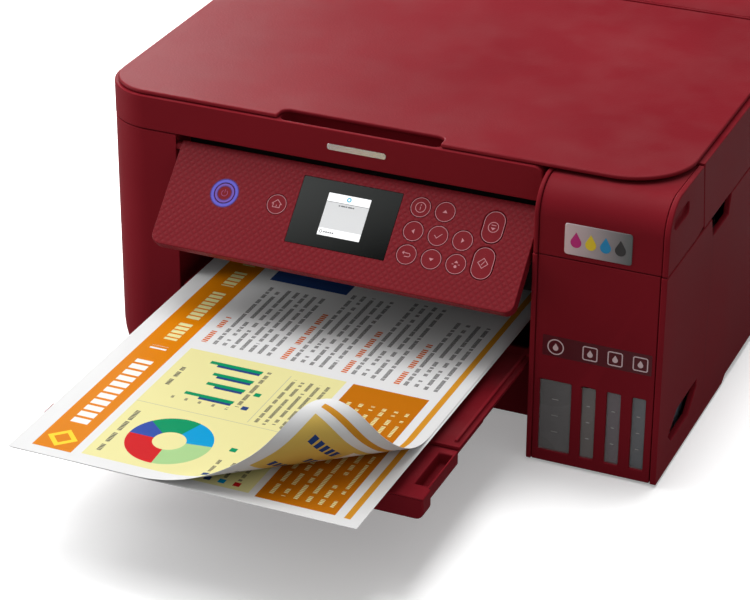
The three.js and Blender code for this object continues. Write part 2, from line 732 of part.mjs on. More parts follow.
function buildTrayExtension() {
  const top = trayTop - trayPlate - gap;
  const low = top - trayPlate;
  const boxBottom = top - 9;
  const lipRear = lipFront + lipDepth;
  const plate = block(trayLeft + 1, trayRight - 1, lipRear - 1, trayFront + 40, low, top);
  const lip = alongY(
    roundedRect(columnRight + 0.4, trayRight + 0.6, top - lipDrop, top, [5, 5, 1, 1]), lipFront, lipRear,
  );
  const boxes = [trayLeft + 1, trayRight - 1 - pocketWidth - 2].map(
    (x) => block(x, x + pocketWidth + 2, lipRear - 1, trayFront + 1, boxBottom, top),
  );
  const pockets = [trayLeft + 2, trayRight - 2 - pocketWidth].map(
    (x) => block(x, x + pocketWidth, lipRear + 3, trayFront - 5, boxBottom + 1.2, top + 1),
  );
  place(printer, 'tray_extension', cut(join(plate, lip, ...boxes), ...pockets), burgundy);
}

function buildPages() {
  const centre = slotCentre - 6;
  const sheets = block(
    centre - pageWidth / 2, centre + pageWidth / 2, pageFront, pageRear, pageHeight, pageHeight + pageStack,
  );
  place(printer, 'printed_pages', sheets, paper);
}

// ---------------------------------------------------------------- paper input
function buildPaperSupport() {
  const flap = raise(
    roundedRect(-flapWidth / 2, flapWidth / 2, flapFront, flapRear, flapRadii),
    bodyHeight - flapThickness, bodyHeight,
  );
  place(printer, 'paper_support', flap, burgundy);
  const slideTop = bodyHeight - flapThickness - gap;
  const slide = block(-90, 90, flapFront + 8, flapRear - 6, slideTop - 2.4, slideTop);
  place(printer, 'support_extension', slide, burgundy);
}

// The chute's own frame: x across, -y down the slope from its top edge, +z out of its face.
const chute = new THREE.Group();
chute.position.set(0, bodyDepth - 11, flapPocketFloor - wall - 4);
chute.rotation.x = Math.PI / 2 - chuteTilt;
printer.add(chute);

function buildFeedChute() {
  const plate = block(-chuteWidth / 2, chuteWidth / 2, -chuteLength, 0, -wall, 0);
  const slots = [-1, 1].map((side) => block(side * 60 - 50, side * 60 + 50, -70, -64, -wall - 1, 1));
  place(chute, 'feed_chute', cut(plate, ...slots), darkPlastic);
}

const guideRest = 106;

function buildEdgeGuides() {
  for (const [name, side] of [['left', -1], ['right', 1]]) {
    const fence = block(-2, 2, -40, 12, gap, 11);
    const foot = block(Math.min(0, -side * 16), Math.max(0, -side * 16), -14, 12, gap, 2);
    place(chute, `edge_guide_${name}`, join(fence, foot), darkPlastic, [side * guideRest, -48, 0]);
  }
}

const pickupRadius = 14;

function buildPickupRoller() {
  const down = chuteLength - 20;
  const standOff = pickupRadius + 1;
  const y = chute.position.y - down * Math.sin(chuteTilt) - standOff * Math.cos(chuteTilt);
  const z = chute.position.z - down * Math.cos(chuteTilt) + standOff * Math.sin(chuteTilt);
  const tyre = new THREE.CylinderGeometry(pickupRadius, pickupRadius, 36, 24);
  tyre.rotateZ(Math.PI / 2);
  const shaft = new THREE.CylinderGeometry(3, 3, 250, 12);
  shaft.rotateZ(Math.PI / 2);
  place(printer, 'pickup_roller', join(toSolid(tyre), toSolid(shaft)), rubber, [0, y, z]);
}

// ---------------------------------------------------------------- print mechanism
const pathLeft = trayLeft + railWidth + 2;
const pathRight = tankLeft - 10;
const mechanismRight = plateInner - 6;
const mechanismLeft = -halfWidth + wall + 6;
const guideY = feedRollerY - 5;

function rollerWithCollars(radius, y, z) {
  const shaft = rod(radius * 0.6, pathLeft, pathRight, y, z, 12);
  const count = 3;
  const pitch = (pathRight - pathLeft) / count;
  const collars = Array.from({ length: count }, (_, i) => {
    const centre = pathLeft + pitch * (i + 0.5);
    return rod(radius, centre - 20, centre + 20, y, z, 16);
  });
  return join(shaft, ...collars);
}

function buildRollers() {
  const nip = pageHeight - 0.2;
  const ejector = rollerWithCollars(ejectRollerRadius, ejectRollerY, nip - ejectRollerRadius);
  const feeder = rollerWithCollars(feedRollerRadius, feedRollerY, nip - feedRollerRadius);
  place(printer, 'eject_roller', ejector, rubber);
  place(printer, 'feed_roller', feeder, steel);
}

function buildPlaten() {
  const top = pageHeight - 1.2;
  const front = ejectRollerY + ejectRollerRadius + 1;
  const rear = feedRollerY - feedRollerRadius - 1;
  const slab = block(pathLeft, pathRight, front, rear, top - 3, top);
  place(printer, 'platen', slab, darkPlastic);
}

function buildGuideFrame() {
  const top = 130;
  const arch = polygon([
    [mechanismLeft, 24], [pathLeft - 26, 24],
    [pathLeft - 26, pageHeight + 4], [pathRight + 26, pageHeight + 4],
    [pathRight + 26, 6], [mechanismRight, 6], [mechanismRight, top], [mechanismLeft, top],
  ]);
  const plate = alongY(arch, guideY, guideY + 1.5);
  const flange = block(mechanismLeft + 1, mechanismRight - 1, guideY - 22, guideY + 0.8, top - 3, top - 1.5);
  place(printer, 'guide_frame', join(plate, flange), steel);
}

function buildCarriage() {
  const low = pageHeight + 4.5;
  const head = new THREE.BoxGeometry(carriageWidth, carriageDepth, 46);
  const nozzle = new THREE.BoxGeometry(carriageWidth - 14, carriageDepth - 16, 4);
  nozzle.translate(0, 0, -24);
  const x = mechanismRight - carriageWidth / 2 - 12;
  const middle = [x, guideY - 9 - carriageDepth / 2, low + 23];
  place(printer, 'carriage', join(toSolid(head), toSolid(nozzle)), darkPlastic, middle);
}

function buildCappingStation() {
  const x = mechanismRight - carriageWidth / 2 - 12;
  const y = guideY - 9 - carriageDepth / 2;
  const tub = cut(
    block(x - 24, x + 24, y - 20, y + 20, 40, pageHeight),
    block(x - 16, x + 16, y - 14, y + 14, pageHeight - 5, pageHeight + 1),
  );
  place(printer, 'capping_station', tub, darkPlastic);
}

function buildBeltDrive() {
  const z = 112;
  const pulley = 6;
  const left = mechanismLeft + 14;
  const right = mechanismRight - 14;
  const belt = cut(
    alongY(
      roundedRect(left - pulley, right + pulley, z - pulley, z + pulley, pulley - 0.01), guideY - 7, guideY - 1,
    ),
    alongY(roundedRect(
      left - pulley + 1.2, right + pulley - 1.2, z - pulley + 1.2, z + pulley - 1.2, pulley - 1.21,
    ), guideY - 8, guideY),
  );
  place(printer, 'timing_belt', belt, rubber);
  const drum = rodAlongY(14, guideY + 3, guideY + 33, left, z);
  place(printer, 'carriage_motor', drum, steel);
}

function buildElectronics() {
  const rear = bodyDepth - wall - gap;
  const board = block(tankLeft + 4, plateInner - 6, 180, rearWallFront - 4, portZ - 9, portZ - 7.4);
  const socket = block(portX - 6, portX + 6, rearWallFront - 6, rear, portZ - 7.5, portZ + 5.5);
  place(printer, 'main_board', join(board, socket), boardGreen);
  const supply = block(columnRight - 42, columnRight - 6, 200, rearWallFront - 12, 20, 58);
  place(printer, 'power_supply', supply, darkPlastic);
  const inlet = cut(
    block(
      inletX - inletHalfWidth, inletX + inletHalfWidth, rearWallFront - 10, bodyDepth - 0.5,
      inletZ - inletHalfHeight, inletZ + inletHalfHeight,
    ),
    block(
      inletX - inletHalfWidth + wall, inletX + inletHalfWidth - wall, bodyDepth - 14, bodyDepth + 1,
      inletZ - inletHalfHeight + wall, inletZ + inletHalfHeight - wall,
    ),
  );
  place(printer, 'power_inlet', inlet, darkPlastic);
}

// ---------------------------------------------------------------- assembly
buildLeftCase();
buildRightCase();
buildRearCase();
buildBaseCase();
buildFrontFrame();
buildFeet();
buildTankHousing();
tankPlaces.forEach(buildTank);
tankPlaces.forEach(buildTankCap);
buildTankCover();
buildScannerFrame();
buildScannerGlass();
buildScanHead();
buildDocumentCover();
buildCoverPad();
buildPanelFront();
buildPanelBack();
buildDisplay();
buildKeys();
buildOutputTray();
buildTrayExtension();
buildPages();
buildPaperSupport();
buildFeedChute();
buildEdgeGuides();
buildPickupRoller();
buildRollers();
buildPlaten();
buildGuideFrame();
buildCarriage();
buildCappingStation();
buildBeltDrive();
buildElectronics();

// The object's box runs from the front edge of the pages to the back wall.
printer.position.y = -(pageFront + bodyDepth) / 2;

export default printer;
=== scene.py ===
# Inkjet printer with refillable ink tanks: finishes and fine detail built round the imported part.
import json
import math

import bmesh
import bpy
from mathutils import Matrix, Vector
from mathutils.bvhtree import BVHTree

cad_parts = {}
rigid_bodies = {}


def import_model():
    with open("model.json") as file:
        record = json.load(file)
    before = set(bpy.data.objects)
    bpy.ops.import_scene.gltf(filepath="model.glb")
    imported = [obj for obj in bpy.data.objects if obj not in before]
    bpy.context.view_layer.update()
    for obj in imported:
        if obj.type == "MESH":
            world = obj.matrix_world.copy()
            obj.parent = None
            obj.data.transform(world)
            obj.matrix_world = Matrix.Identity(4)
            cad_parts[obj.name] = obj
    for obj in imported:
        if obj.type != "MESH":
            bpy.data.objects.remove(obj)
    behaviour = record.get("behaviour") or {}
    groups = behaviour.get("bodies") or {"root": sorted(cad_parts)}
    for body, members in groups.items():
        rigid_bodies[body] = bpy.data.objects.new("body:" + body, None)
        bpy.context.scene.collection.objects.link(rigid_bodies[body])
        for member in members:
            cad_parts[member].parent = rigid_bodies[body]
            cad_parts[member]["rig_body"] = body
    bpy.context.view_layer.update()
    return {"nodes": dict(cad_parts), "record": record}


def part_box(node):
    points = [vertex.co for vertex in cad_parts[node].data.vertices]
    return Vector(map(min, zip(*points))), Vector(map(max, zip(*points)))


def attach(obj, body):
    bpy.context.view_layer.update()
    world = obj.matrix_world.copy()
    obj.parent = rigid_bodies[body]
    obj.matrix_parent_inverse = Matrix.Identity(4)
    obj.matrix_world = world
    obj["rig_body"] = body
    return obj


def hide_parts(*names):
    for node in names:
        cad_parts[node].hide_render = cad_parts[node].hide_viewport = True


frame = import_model()
slotOf = {part["node"]: part["material_slot"] for part in frame["record"]["subparts"]}
print("frame loaded:", len(frame["nodes"]), "parts")

# Places are given in millimetres, with y = 0 on the front of the tank unit and z = 0 on the table.
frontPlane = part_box("tank_housing")[0].y
slope = math.sqrt(0.5)  # the control panel leans back by 45 degrees
panelTop = {"y": 22.0, "z": 158.0}
skins = {"tank": 0.9, "band": 18.75, "rear": 347.0, "side": 187.5}


def at(x, y, z):
    return Vector((x / 1000, frontPlane + y / 1000, z / 1000))


def scaled(x, y, z):
    return Vector((x / 1000, y / 1000, z / 1000))


def onPanel(x, down, out=0.0):
    return at(x, panelTop["y"] - (down + out) * slope, panelTop["z"] - (down - out) * slope)


# Small helpers for node trees.
def feed(tree, socket, value):
    if isinstance(value, bpy.types.NodeSocket):
        tree.links.new(value, socket)
    else:
        socket.default_value = value


def wire(tree, node, values):
    for label, value in values.items():
        feed(tree, node.inputs[label], value)


def addNode(tree, kind, values=None, **settings):
    made = tree.nodes.new(kind)
    for name, value in settings.items():
        setattr(made, name, value)
    wire(tree, made, values or {})
    return made


def calc(tree, operation, first, second=0.0):
    return addNode(tree, "ShaderNodeMath", {0: first, 1: second}, operation=operation).outputs[0]


def times(tree, first, second):
    return calc(tree, "MULTIPLY", first, second)


def within(tree, value, low, high):
    return times(tree, calc(tree, "GREATER_THAN", value, low), calc(tree, "LESS_THAN", value, high))


def blendColours(tree, share, first, second):
    return addNode(tree, "ShaderNodeMix", {0: share, 6: first, 7: second}, data_type="RGBA").outputs[2]


def remap(tree, value, low, high, toLow, toHigh):
    return addNode(tree, "ShaderNodeMapRange", dict(enumerate((value, low, high, toLow, toHigh)))).outputs[0]


def axes(tree, vector):
    return addNode(tree, "ShaderNodeSeparateXYZ", {0: vector}).outputs


# A shader group: inputs are floats with a start value, or a vector where none is given.
def newGroup(name, inputs, outputs):
    group = bpy.data.node_groups.new(name, "ShaderNodeTree")
    for label, value in inputs.items():
        kind = "NodeSocketVector" if value is None else "NodeSocketFloat"
        socket = group.interface.new_socket(name=label, in_out="INPUT", socket_type=kind)
        if value is not None:
            socket.default_value = value
    for label in outputs:
        group.interface.new_socket(name=label, in_out="OUTPUT", socket_type="NodeSocketFloat")
    return group, addNode(group, "NodeGroupInput").outputs, addNode(group, "NodeGroupOutput").inputs


def placeGroup(tree, group, **values):
    return addNode(tree, "ShaderNodeGroup", values, node_tree=group).outputs


# Fine moulded grain: a height for the bump and a slow tone for colour and gloss.
def buildGrain():
    group, given, out = newGroup("mouldedGrain", {"Place": None, "Density": 900.0}, ["Height", "Tone"])
    place, density = given["Place"], given["Density"]
    fine = addNode(group, "ShaderNodeTexNoise", {"Vector": place, "Scale": density, "Detail": 2.0})
    pits = addNode(group, "ShaderNodeTexVoronoi", feature="SMOOTH_F1")
    wire(group, pits, {"Vector": place, "Scale": times(group, density, 0.8)})
    slow = addNode(group, "ShaderNodeTexNoise", {"Vector": place, "Scale": 9.0})
    height = calc(group, "ADD", fine.outputs["Fac"], times(group, pits.outputs["Distance"], 0.6))
    feed(group, out["Height"], height)
    feed(group, out["Tone"], remap(group, slow.outputs["Fac"], 0.35, 0.65, 0.0, 1.0))
    return group


# Convex edges are painted a little lighter: a painted highlight standing in for light caught on them.
def buildPaintedEdgeSheen():
    group, given, out = newGroup("edgeWear", {"Amount": 1.0}, ["Mask"])
    shape = addNode(group, "ShaderNodeNewGeometry").outputs
    edge = remap(group, shape["Pointiness"], 0.51, 0.58, 0.0, 1.0)
    feed(group, out["Mask"], times(group, edge, given["Amount"]))
    return group


# Rows of small flat triangles, each one tilted another way.
def buildTriangles():
    sizes = {"Across": 0.0, "Down": 0.0, "Width": 4.0, "Row": 2.4}
    group, given, out = newGroup("triangleRows", sizes, ["Height"])
    rows = calc(group, "DIVIDE", given["Down"], given["Row"])
    halfStep = times(group, calc(group, "FLOOR", rows), 0.5)
    columns = calc(group, "ADD", calc(group, "DIVIDE", given["Across"], given["Width"]), halfStep)
    saw = times(group, calc(group, "FRACT", columns), 2.0)
    wave = calc(group, "ABSOLUTE", calc(group, "SUBTRACT", saw, 1.0))
    ramp = calc(group, "FRACT", rows)
    feed(group, out["Height"], calc(group, "ABSOLUTE", calc(group, "SUBTRACT", wave, ramp)))
    return group


# A soft film of dust on faces that look up.
def buildDust():
    group, given, out = newGroup("lightDust", {"Place": None, "Amount": 0.1}, ["Mask"])
    shape = addNode(group, "ShaderNodeNewGeometry").outputs
    cloud = addNode(group, "ShaderNodeTexNoise", {"Vector": given["Place"], "Scale": 30.0, "Detail": 4.0})
    upward = remap(group, axes(group, shape["Normal"])["Z"], 0.5, 1.0, 0.0, 1.0)
    patchy = remap(group, cloud.outputs["Fac"], 0.4, 0.75, 0.0, 1.0)
    feed(group, out["Mask"], times(group, times(group, upward, patchy), given["Amount"]))
    return group


grain = buildGrain()
edgeWear = buildPaintedEdgeSheen()
triangleRows = buildTriangles()
lightDust = buildDust()


def newMaterial(name):
    material = bpy.data.materials.new(name)
    material.use_nodes = True
    tree = material.node_tree
    place = addNode(tree, "ShaderNodeTexCoord").outputs["Object"]
    return material, tree, tree.nodes["Principled BSDF"], place


def grainedMaterial(name, density):
    material, tree, shader, place = newMaterial(name)
    return material, tree, shader, place, placeGroup(tree, grain, Place=place, Density=density)


def varyRoughness(tree, shader, skin, low, high):
    feed(tree, shader.inputs["Roughness"], remap(tree, skin["Tone"], 0.0, 1.0, low, high))


def rgb(red, green, blue):
    return (red, green, blue, 1.0)


def lighter(colour, share):
    return tuple(min(1.0, part * share) for part in colour[:3]) + (1.0,)


def bump(tree, shader, height, depth, under=None):
    made = addNode(tree, "ShaderNodeBump", {"Strength": 1.0, "Distance": depth, "Height": height})
    if under is not None:
        feed(tree, made.inputs["Normal"], under)
    feed(tree, shader.inputs["Normal"], made.outputs[0])
    return made.outputs[0]


# Moulded plastic in any colour: grain, slow tone, a painted highlight on convex edges and a trace of dust.
def plastic(name, colour, roughness=0.42, density=900.0, depth=0.00005, **change):
    look = {"wear": 0.5, "dust": 0.03, "gloss": 0.03, "metallic": 0.0, **change}
    material, tree, shader, place, skin = grainedMaterial(name, density)
    edgeSheenMask = placeGroup(tree, edgeWear, Amount=look["wear"])["Mask"]
    dusty = placeGroup(tree, lightDust, Place=place, Amount=look["dust"])["Mask"]
    toned = blendColours(tree, skin["Tone"], lighter(colour, 0.93), lighter(colour, 1.07))
    # Painted highlight: convex edges are lightened to 1.35 times the colour.
    withEdgeSheen = blendColours(tree, edgeSheenMask, toned, lighter(colour, 1.35))
    wire(tree, shader, {"Base Color": blendColours(tree, dusty, withEdgeSheen, rgb(0.5, 0.46, 0.44)),
                        "Specular IOR Level": look["gloss"], "Metallic": look["metallic"]})
    varyRoughness(tree, shader, skin, roughness - 0.03, roughness + 0.03)
    bump(tree, shader, skin["Height"], depth)
    return material


burgundy = rgb(0.2, 0.0105, 0.0175)
casePlastic = plastic("burgundyCase", burgundy, 0.4, 1500.0, 0.00003)
lidPlastic = plastic("burgundyLid", lighter(burgundy, 1.05), 0.42, 800.0, 0.00007, gloss=0.09)
# Painted shade: the output tray and the base case take a darker copy of the burgundy, 0.8 of its brightness,
# for the shade they sit in under the page and the body.
shadedTrayPlastic = plastic("burgundyTray", lighter(burgundy, 0.8), 0.45)
keyPlastic = plastic("burgundyKey", lighter(burgundy, 0.95), 0.38, depth=0.00002, gloss=0.12)
darkPlastic = plastic("blackPlastic", rgb(0.012, 0.011, 0.011), 0.5, wear=0.3)
foamWhite = plastic("whitePad", rgb(0.8, 0.8, 0.78), 0.75, 500.0, 0.0001, wear=0.0)
softRubber = plastic("blackRubber", rgb(0.018, 0.018, 0.018), 0.85, 2500.0, wear=0.1)
wheelRubber = plastic("greyRubber", rgb(0.04, 0.04, 0.04), 0.8, 2000.0, wear=0.1)
platedSteel = plastic("platedSteel", rgb(0.5, 0.51, 0.52), 0.3, 1200.0, 0.00001, gloss=0.5, metallic=1.0)
silverTrim = plastic("silverTrim", rgb(0.62, 0.62, 0.63), 0.28, depth=0.00001, wear=0.2, dust=0.0, gloss=0.5,
                     metallic=0.9)
boardGreen = plastic("boardGreen", rgb(0.02, 0.11, 0.045), 0.5, 300.0, 0.0001)


# The control panel's face is embossed with triangles that fade out on its rounded edges, where a painted
# highlight covers them; their colour also follows the relief height, painted shade and light on the
# embossing.
def buildPanelPlastic():
    look = {"triangleWidth": 4.4, "rowHeight": 2.5, "depth": 0.00016, "gloss": 0.12}
    material, tree, shader, place, skin = grainedMaterial("embossedPanel", 1500.0)
    parts = axes(tree, place)
    down = times(tree, calc(tree, "ADD", parts["Y"], parts["Z"]), 1000 * slope)
    across = times(tree, parts["X"], 1000.0)
    rows = placeGroup(tree, triangleRows, Across=across, Down=down, Width=look["triangleWidth"],
                      Row=look["rowHeight"])
    edgeSheenMask = placeGroup(tree, edgeWear, Amount=0.6)["Mask"]
    # Painted shade and light: the colour darkens and lightens with the relief height of the triangles.
    toned = blendColours(tree, rows["Height"], lighter(burgundy, 0.86), lighter(burgundy, 1.1))
    # Painted highlight on the rounded edges: 1.5 times the burgundy.
    wire(tree, shader, {"Base Color": blendColours(tree, edgeSheenMask, toned, lighter(burgundy, 1.5)),
                        "Specular IOR Level": look["gloss"]})
    varyRoughness(tree, shader, skin, 0.39, 0.45)
    fine = bump(tree, shader, skin["Height"], 0.00003)
    bump(tree, shader, rows["Height"], look["depth"], under=fine)
    return material


panelPlastic = buildPanelPlastic()


# Smoked tank walls: darker below the ink level, with a soft cloudy tone.
def inkTank(name, wallTone, inkTone):
    look = {"level": 0.052, "softness": 0.003, "roughness": 0.22}
    material, tree, shader, place, skin = grainedMaterial(name, 400.0)
    low, high = look["level"] - look["softness"], look["level"] + look["softness"]
    filled = remap(tree, axes(tree, place)["Z"], low, high, 1.0, 0.0)
    liquid = blendColours(tree, skin["Tone"], inkTone, lighter(inkTone, 1.2))
    wire(tree, shader, {"Base Color": blendColours(tree, filled, wallTone, liquid),
                        "Coat Weight": 0.5, "Coat Roughness": 0.08})
    varyRoughness(tree, shader, skin, look["roughness"], look["roughness"] + 0.06)
    bump(tree, shader, skin["Height"], 0.00002)
    return material


inks = {
    "black": {"wall": rgb(0.17, 0.165, 0.16), "ink": rgb(0.115, 0.113, 0.112)},
    "yellow": {"wall": rgb(0.27, 0.25, 0.21), "ink": rgb(0.21, 0.175, 0.15)},
    "magenta": {"wall": rgb(0.26, 0.2, 0.24), "ink": rgb(0.2, 0.145, 0.185)},
    "cyan": {"wall": rgb(0.2, 0.25, 0.28), "ink": rgb(0.12, 0.165, 0.2)},
}
for inkName, tones in inks.items():
    tones["material"] = inkTank(inkName + "Tank", tones["wall"], tones["ink"])


# Clear parts keep a plain transparency so that what is behind them shows.
def clearPlate(name, colour, alpha, roughness):
    material, tree, shader, place, skin = grainedMaterial(name, 60.0)
    wire(tree, shader, {"Base Color": blendColours(tree, skin["Tone"], colour, lighter(colour, 1.1)),
                        "Alpha": remap(tree, skin["Tone"], 0.0, 1.0, alpha, alpha + 0.03),
                        "Roughness": roughness})
    return material


windowPane = clearPlate("windowPane", rgb(0.36, 0.34, 0.34), 0.22, 0.1)
scannerGlass = clearPlate("scannerGlass", rgb(0.32, 0.4, 0.39), 0.22, 0.04)


# Polished black window with a painted highlight: its colour turns lighter towards the upper left, where a
# broad soft light falls on it.
def buildDisplayGlossPaintedHighlight():
    material, tree, shader, place, skin = grainedMaterial("displayGloss", 200.0)
    parts = axes(tree, place)
    fall = calc(tree, "SUBTRACT", parts["Z"], times(tree, parts["X"], 0.35))
    share = remap(tree, fall, 0.118, 0.165, 0.0, 1.0)
    # Painted highlight: the base colour runs from near black to grey towards the upper left.
    gloss = blendColours(tree, share, rgb(0.006, 0.0065, 0.0065), rgb(0.06, 0.064, 0.063))
    feed(tree, shader.inputs["Base Color"], gloss)
    varyRoughness(tree, shader, skin, 0.16, 0.2)
    return material


displayGloss = buildDisplayGlossPaintedHighlight()


# A lit or printed surface in one colour with a faint mottle.
def inked(name, colour, glow=0.0, roughness=0.4):
    material, tree, shader, place, skin = grainedMaterial(name, 700.0)
    tone = blendColours(tree, skin["Tone"], lighter(colour, 0.95), lighter(colour, 1.05))
    wire(tree, shader, {"Base Color": tone, "Roughness": roughness})
    if glow:
        wire(tree, shader, {"Emission Color": tone, "Emission Strength": glow})
    bump(tree, shader, skin["Height"], 0.000005)
    return material


screenLit = inked("screenLit", rgb(0.62, 0.63, 0.64), glow=0.35, roughness=0.3)
screenWhite = inked("screenWhite", rgb(0.92, 0.93, 0.94), glow=0.45, roughness=0.3)
screenGrey = inked("screenGrey", rgb(0.16, 0.17, 0.18), glow=0.1)
screenCyan = inked("screenCyan", rgb(0.02, 0.42, 0.6), glow=0.4)
paleLine = inked("paleLine", rgb(0.56, 0.22, 0.25), roughness=0.5)
labelWhite = inked("labelWhite", rgb(0.74, 0.56, 0.58), roughness=0.5)
labelGround = inked("labelGround", rgb(0.105, 0.006, 0.012), roughness=0.32)
seamShade = inked("seamShade", rgb(0.03, 0.003, 0.006), roughness=0.7)
ventShade = inked("ventShade", rgb(0.006, 0.004, 0.005), roughness=0.8)
tickMark = inked("tickMark", rgb(0.4, 0.38, 0.37), roughness=0.4)
dropColours = {
    "magenta": inked("dropMagenta", rgb(0.55, 0.01, 0.2)),
    "yellow": inked("dropYellow", rgb(0.85, 0.62, 0.02)),
    "cyan": inked("dropCyan", rgb(0.01, 0.27, 0.55)),
    "black": inked("dropBlack", rgb(0.04, 0.04, 0.042)),
}
print("finishes ready:", len(bpy.data.materials))

collection = bpy.context.scene.collection


def newObject(name, mesh):
    made = bpy.data.objects.new(name, mesh)
    collection.objects.link(made)
    return made


def baked(source):
    graph = bpy.context.evaluated_depsgraph_get()
    mesh = bpy.data.meshes.new_from_object(source.evaluated_get(graph), depsgraph=graph)
    source.modifiers.clear()
    source.data = mesh
    return source


def softShade(made, angle=40):
    made.data.shade_smooth()
    made.data.set_sharp_from_angle(angle=math.radians(angle))
    weighted = made.modifiers.new("flatFaces", "WEIGHTED_NORMAL")
    weighted.keep_sharp = True
    weighted.weight = 80
    return baked(made)


# How far an edge may be rounded: rays just inside and just outside each face beside it find where that
# face ends, and the edges that meet it at its ends are measured too.
def roomBeside(edge, tree, width):
    along = (edge.verts[1].co - edge.verts[0].co).normalized()
    room = width * 3
    for end in edge.verts:
        for other in end.link_edges:
            if other == edge or other.calc_length() == 0:
                continue
            span = other.other_vert(end).co - end.co
            across = along.cross(span).length
            if across / span.length > 0.3:
                room = min(room, across)
    for loop in edge.link_loops:
        face = loop.face
        inward = face.normal.cross(loop.link_loop_next.vert.co - loop.vert.co).normalized()
        for share in (0.08, 0.5, 0.92):
            spot = edge.verts[0].co.lerp(edge.verts[1].co, share)
            for side in (-0.00003, 0.00003):
                reach = tree.ray_cast(spot + inward * 0.00002 + face.normal * side, inward, width * 3)[3]
                if reach is not None:
                    room = min(room, reach)
    return room * 0.42


# Edges that run on into each other share one width, so that the rounding stays even along them.
def evenOut(rooms):
    changed = True
    while changed:
        changed = False
        for edge in rooms:
            for end in edge.verts:
                along = (end.co - edge.other_vert(end).co).normalized()
                for other in end.link_edges:
                    if other == edge or other not in rooms:
                        continue
                    onward = (other.other_vert(end).co - end.co).normalized()
                    if along.dot(onward) > 0.8 and rooms[other] > rooms[edge] * 1.0001:
                        rooms[other] = rooms[edge]
                        changed = True


def addBevelWeights(mesh, width, sharpest=24):
    shape = bmesh.new()
    shape.from_mesh(mesh)
    bmesh.ops.remove_doubles(shape, verts=shape.verts, dist=0.000004)
    bmesh.ops.dissolve_limit(shape, angle_limit=math.radians(0.8), verts=shape.verts, edges=shape.edges)
    shape.normal_update()
    layer = shape.edges.layers.float.new("bevel_weight_edge")
    tree = BVHTree.FromBMesh(shape)
    rooms = {}
    for edge in shape.edges:
        if len(edge.link_faces) == 2 and edge.calc_face_angle(0.0) > math.radians(sharpest):
            rooms[edge] = roomBeside(edge, tree, width)
    evenOut(rooms)
    for edge, room in rooms.items():
        edge[layer] = min(1.0, room / width)
    shape.to_mesh(mesh)
    shape.free()


# A finer copy of a CAD part: merged, its edges rounded, and shown in its place.
def refine(nodeName, pieceName, material, width, segments):
    source = frame["nodes"][nodeName]
    mesh = source.data.copy()
    mesh.materials.clear()
    mesh.materials.append(material)
    for attribute in [a.name for a in mesh.attributes if a.name.startswith(("custom_normal", "UV"))]:
        mesh.attributes.remove(mesh.attributes[attribute])
    addBevelWeights(mesh, width / 1000)
    made = newObject(pieceName, mesh)
    rounding = made.modifiers.new("rounding", "BEVEL")
    rounding.limit_method = "WEIGHT"
    rounding.width = width / 1000
    rounding.segments = segments
    rounding.use_clamp_overlap = False
    baked(made)
    low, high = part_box(nodeName)
    for vertex in made.data.vertices:
        vertex.co = [min(max(value, least), most) for value, least, most in zip(vertex.co, low, high)]
    softShade(made)
    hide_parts(nodeName)
    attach(made, source["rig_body"])
    return made


def camel(nodeName):
    first, *rest = nodeName.split("_")
    return first + "".join(word.capitalize() for word in rest)


slotFinish = {
    "case_plastic": casePlastic,
    "key_plastic": keyPlastic,
    "dark_plastic": darkPlastic,
    "display_gloss": displayGloss,
    "display_light": screenLit,
    "glass": scannerGlass,
    "pad_white": foamWhite,
    "foot_rubber": softRubber,
    "roller_rubber": wheelRubber,
    "steel": platedSteel,
    "circuit_board": boardGreen,
    **{"ink_" + inkName: tones["material"] for inkName, tones in inks.items()},
}
# Parts that are finished another way than the rest of their slot.
partFinish = {"document_cover": lidPlastic, "panel_front": panelPlastic, "output_tray": shadedTrayPlastic,
              "base_case": shadedTrayPlastic}
# How wide the edges of a part are rounded, in millimetres, and in how many steps.
rounding = {
    "document_cover": (1.0, 3), "scanner_frame": (0.8, 3), "left_case": (0.9, 3),
    "right_case": (0.8, 3), "rear_case": (1.0, 3), "tank_housing": (0.7, 3), "tank_cover": (0.9, 3),
    "panel_front": (1.9, 4), "paper_support": (0.8, 3), "output_tray": (0.6, 2),
    "tray_extension": (1.2, 3), "base_case": (0.5, 2),
}
for nodeName, slotName in slotOf.items():
    if nodeName == "printed_pages":
        continue
    finish = partFinish.get(nodeName, slotFinish[slotName])
    refine(nodeName, camel(nodeName), finish, *rounding.get(nodeName, (0.35, 2)))
print("CAD parts refined:", len(slotOf) - 1)


# Outlines are lists of (a, b) in millimetres; a place function turns (a, b, out) into a point.
def circleOutline(a, b, radius, steps=40, start=0.0, sweep=360.0):
    count = steps if sweep >= 360 else steps + 1
    turns = [math.radians(start + sweep * i / steps) for i in range(count)]
    return [(a + radius * math.cos(turn), b + radius * math.sin(turn)) for turn in turns]


def roundOutline(left, right, low, high, radius, steps=5):
    corners = [(right - radius, low + radius), (right - radius, high - radius),
               (left + radius, high - radius), (left + radius, low + radius)]
    quarters = [circleOutline(a, b, radius, steps, 90 * k - 90, 90) for k, (a, b) in enumerate(corners)]
    return sum(quarters, [])


def roundAbout(a, b, halfWidth, halfHeight, radius, steps=5):
    return roundOutline(a - halfWidth, a + halfWidth, b - halfHeight, b + halfHeight, radius, steps)


def sideStep(points, index, distance, closed=True):
    count = len(points)
    here = Vector(points[index])
    before = Vector(points[(index - 1) % count]) if closed or index > 0 else None
    after = Vector(points[(index + 1) % count]) if closed or index < count - 1 else None
    first = (here - before).normalized() if before is not None else (after - here).normalized()
    second = (after - here).normalized() if after is not None else first
    normal = Vector((first.y + second.y, -(first.x + second.x)))
    normal.normalize()
    reach = max(0.35, normal.dot(Vector((second.y, -second.x))))
    return here + normal * (distance / reach)


def shifted(points, distance, closed=True):
    return [tuple(sideStep(points, i, distance, closed)) for i in range(len(points))]


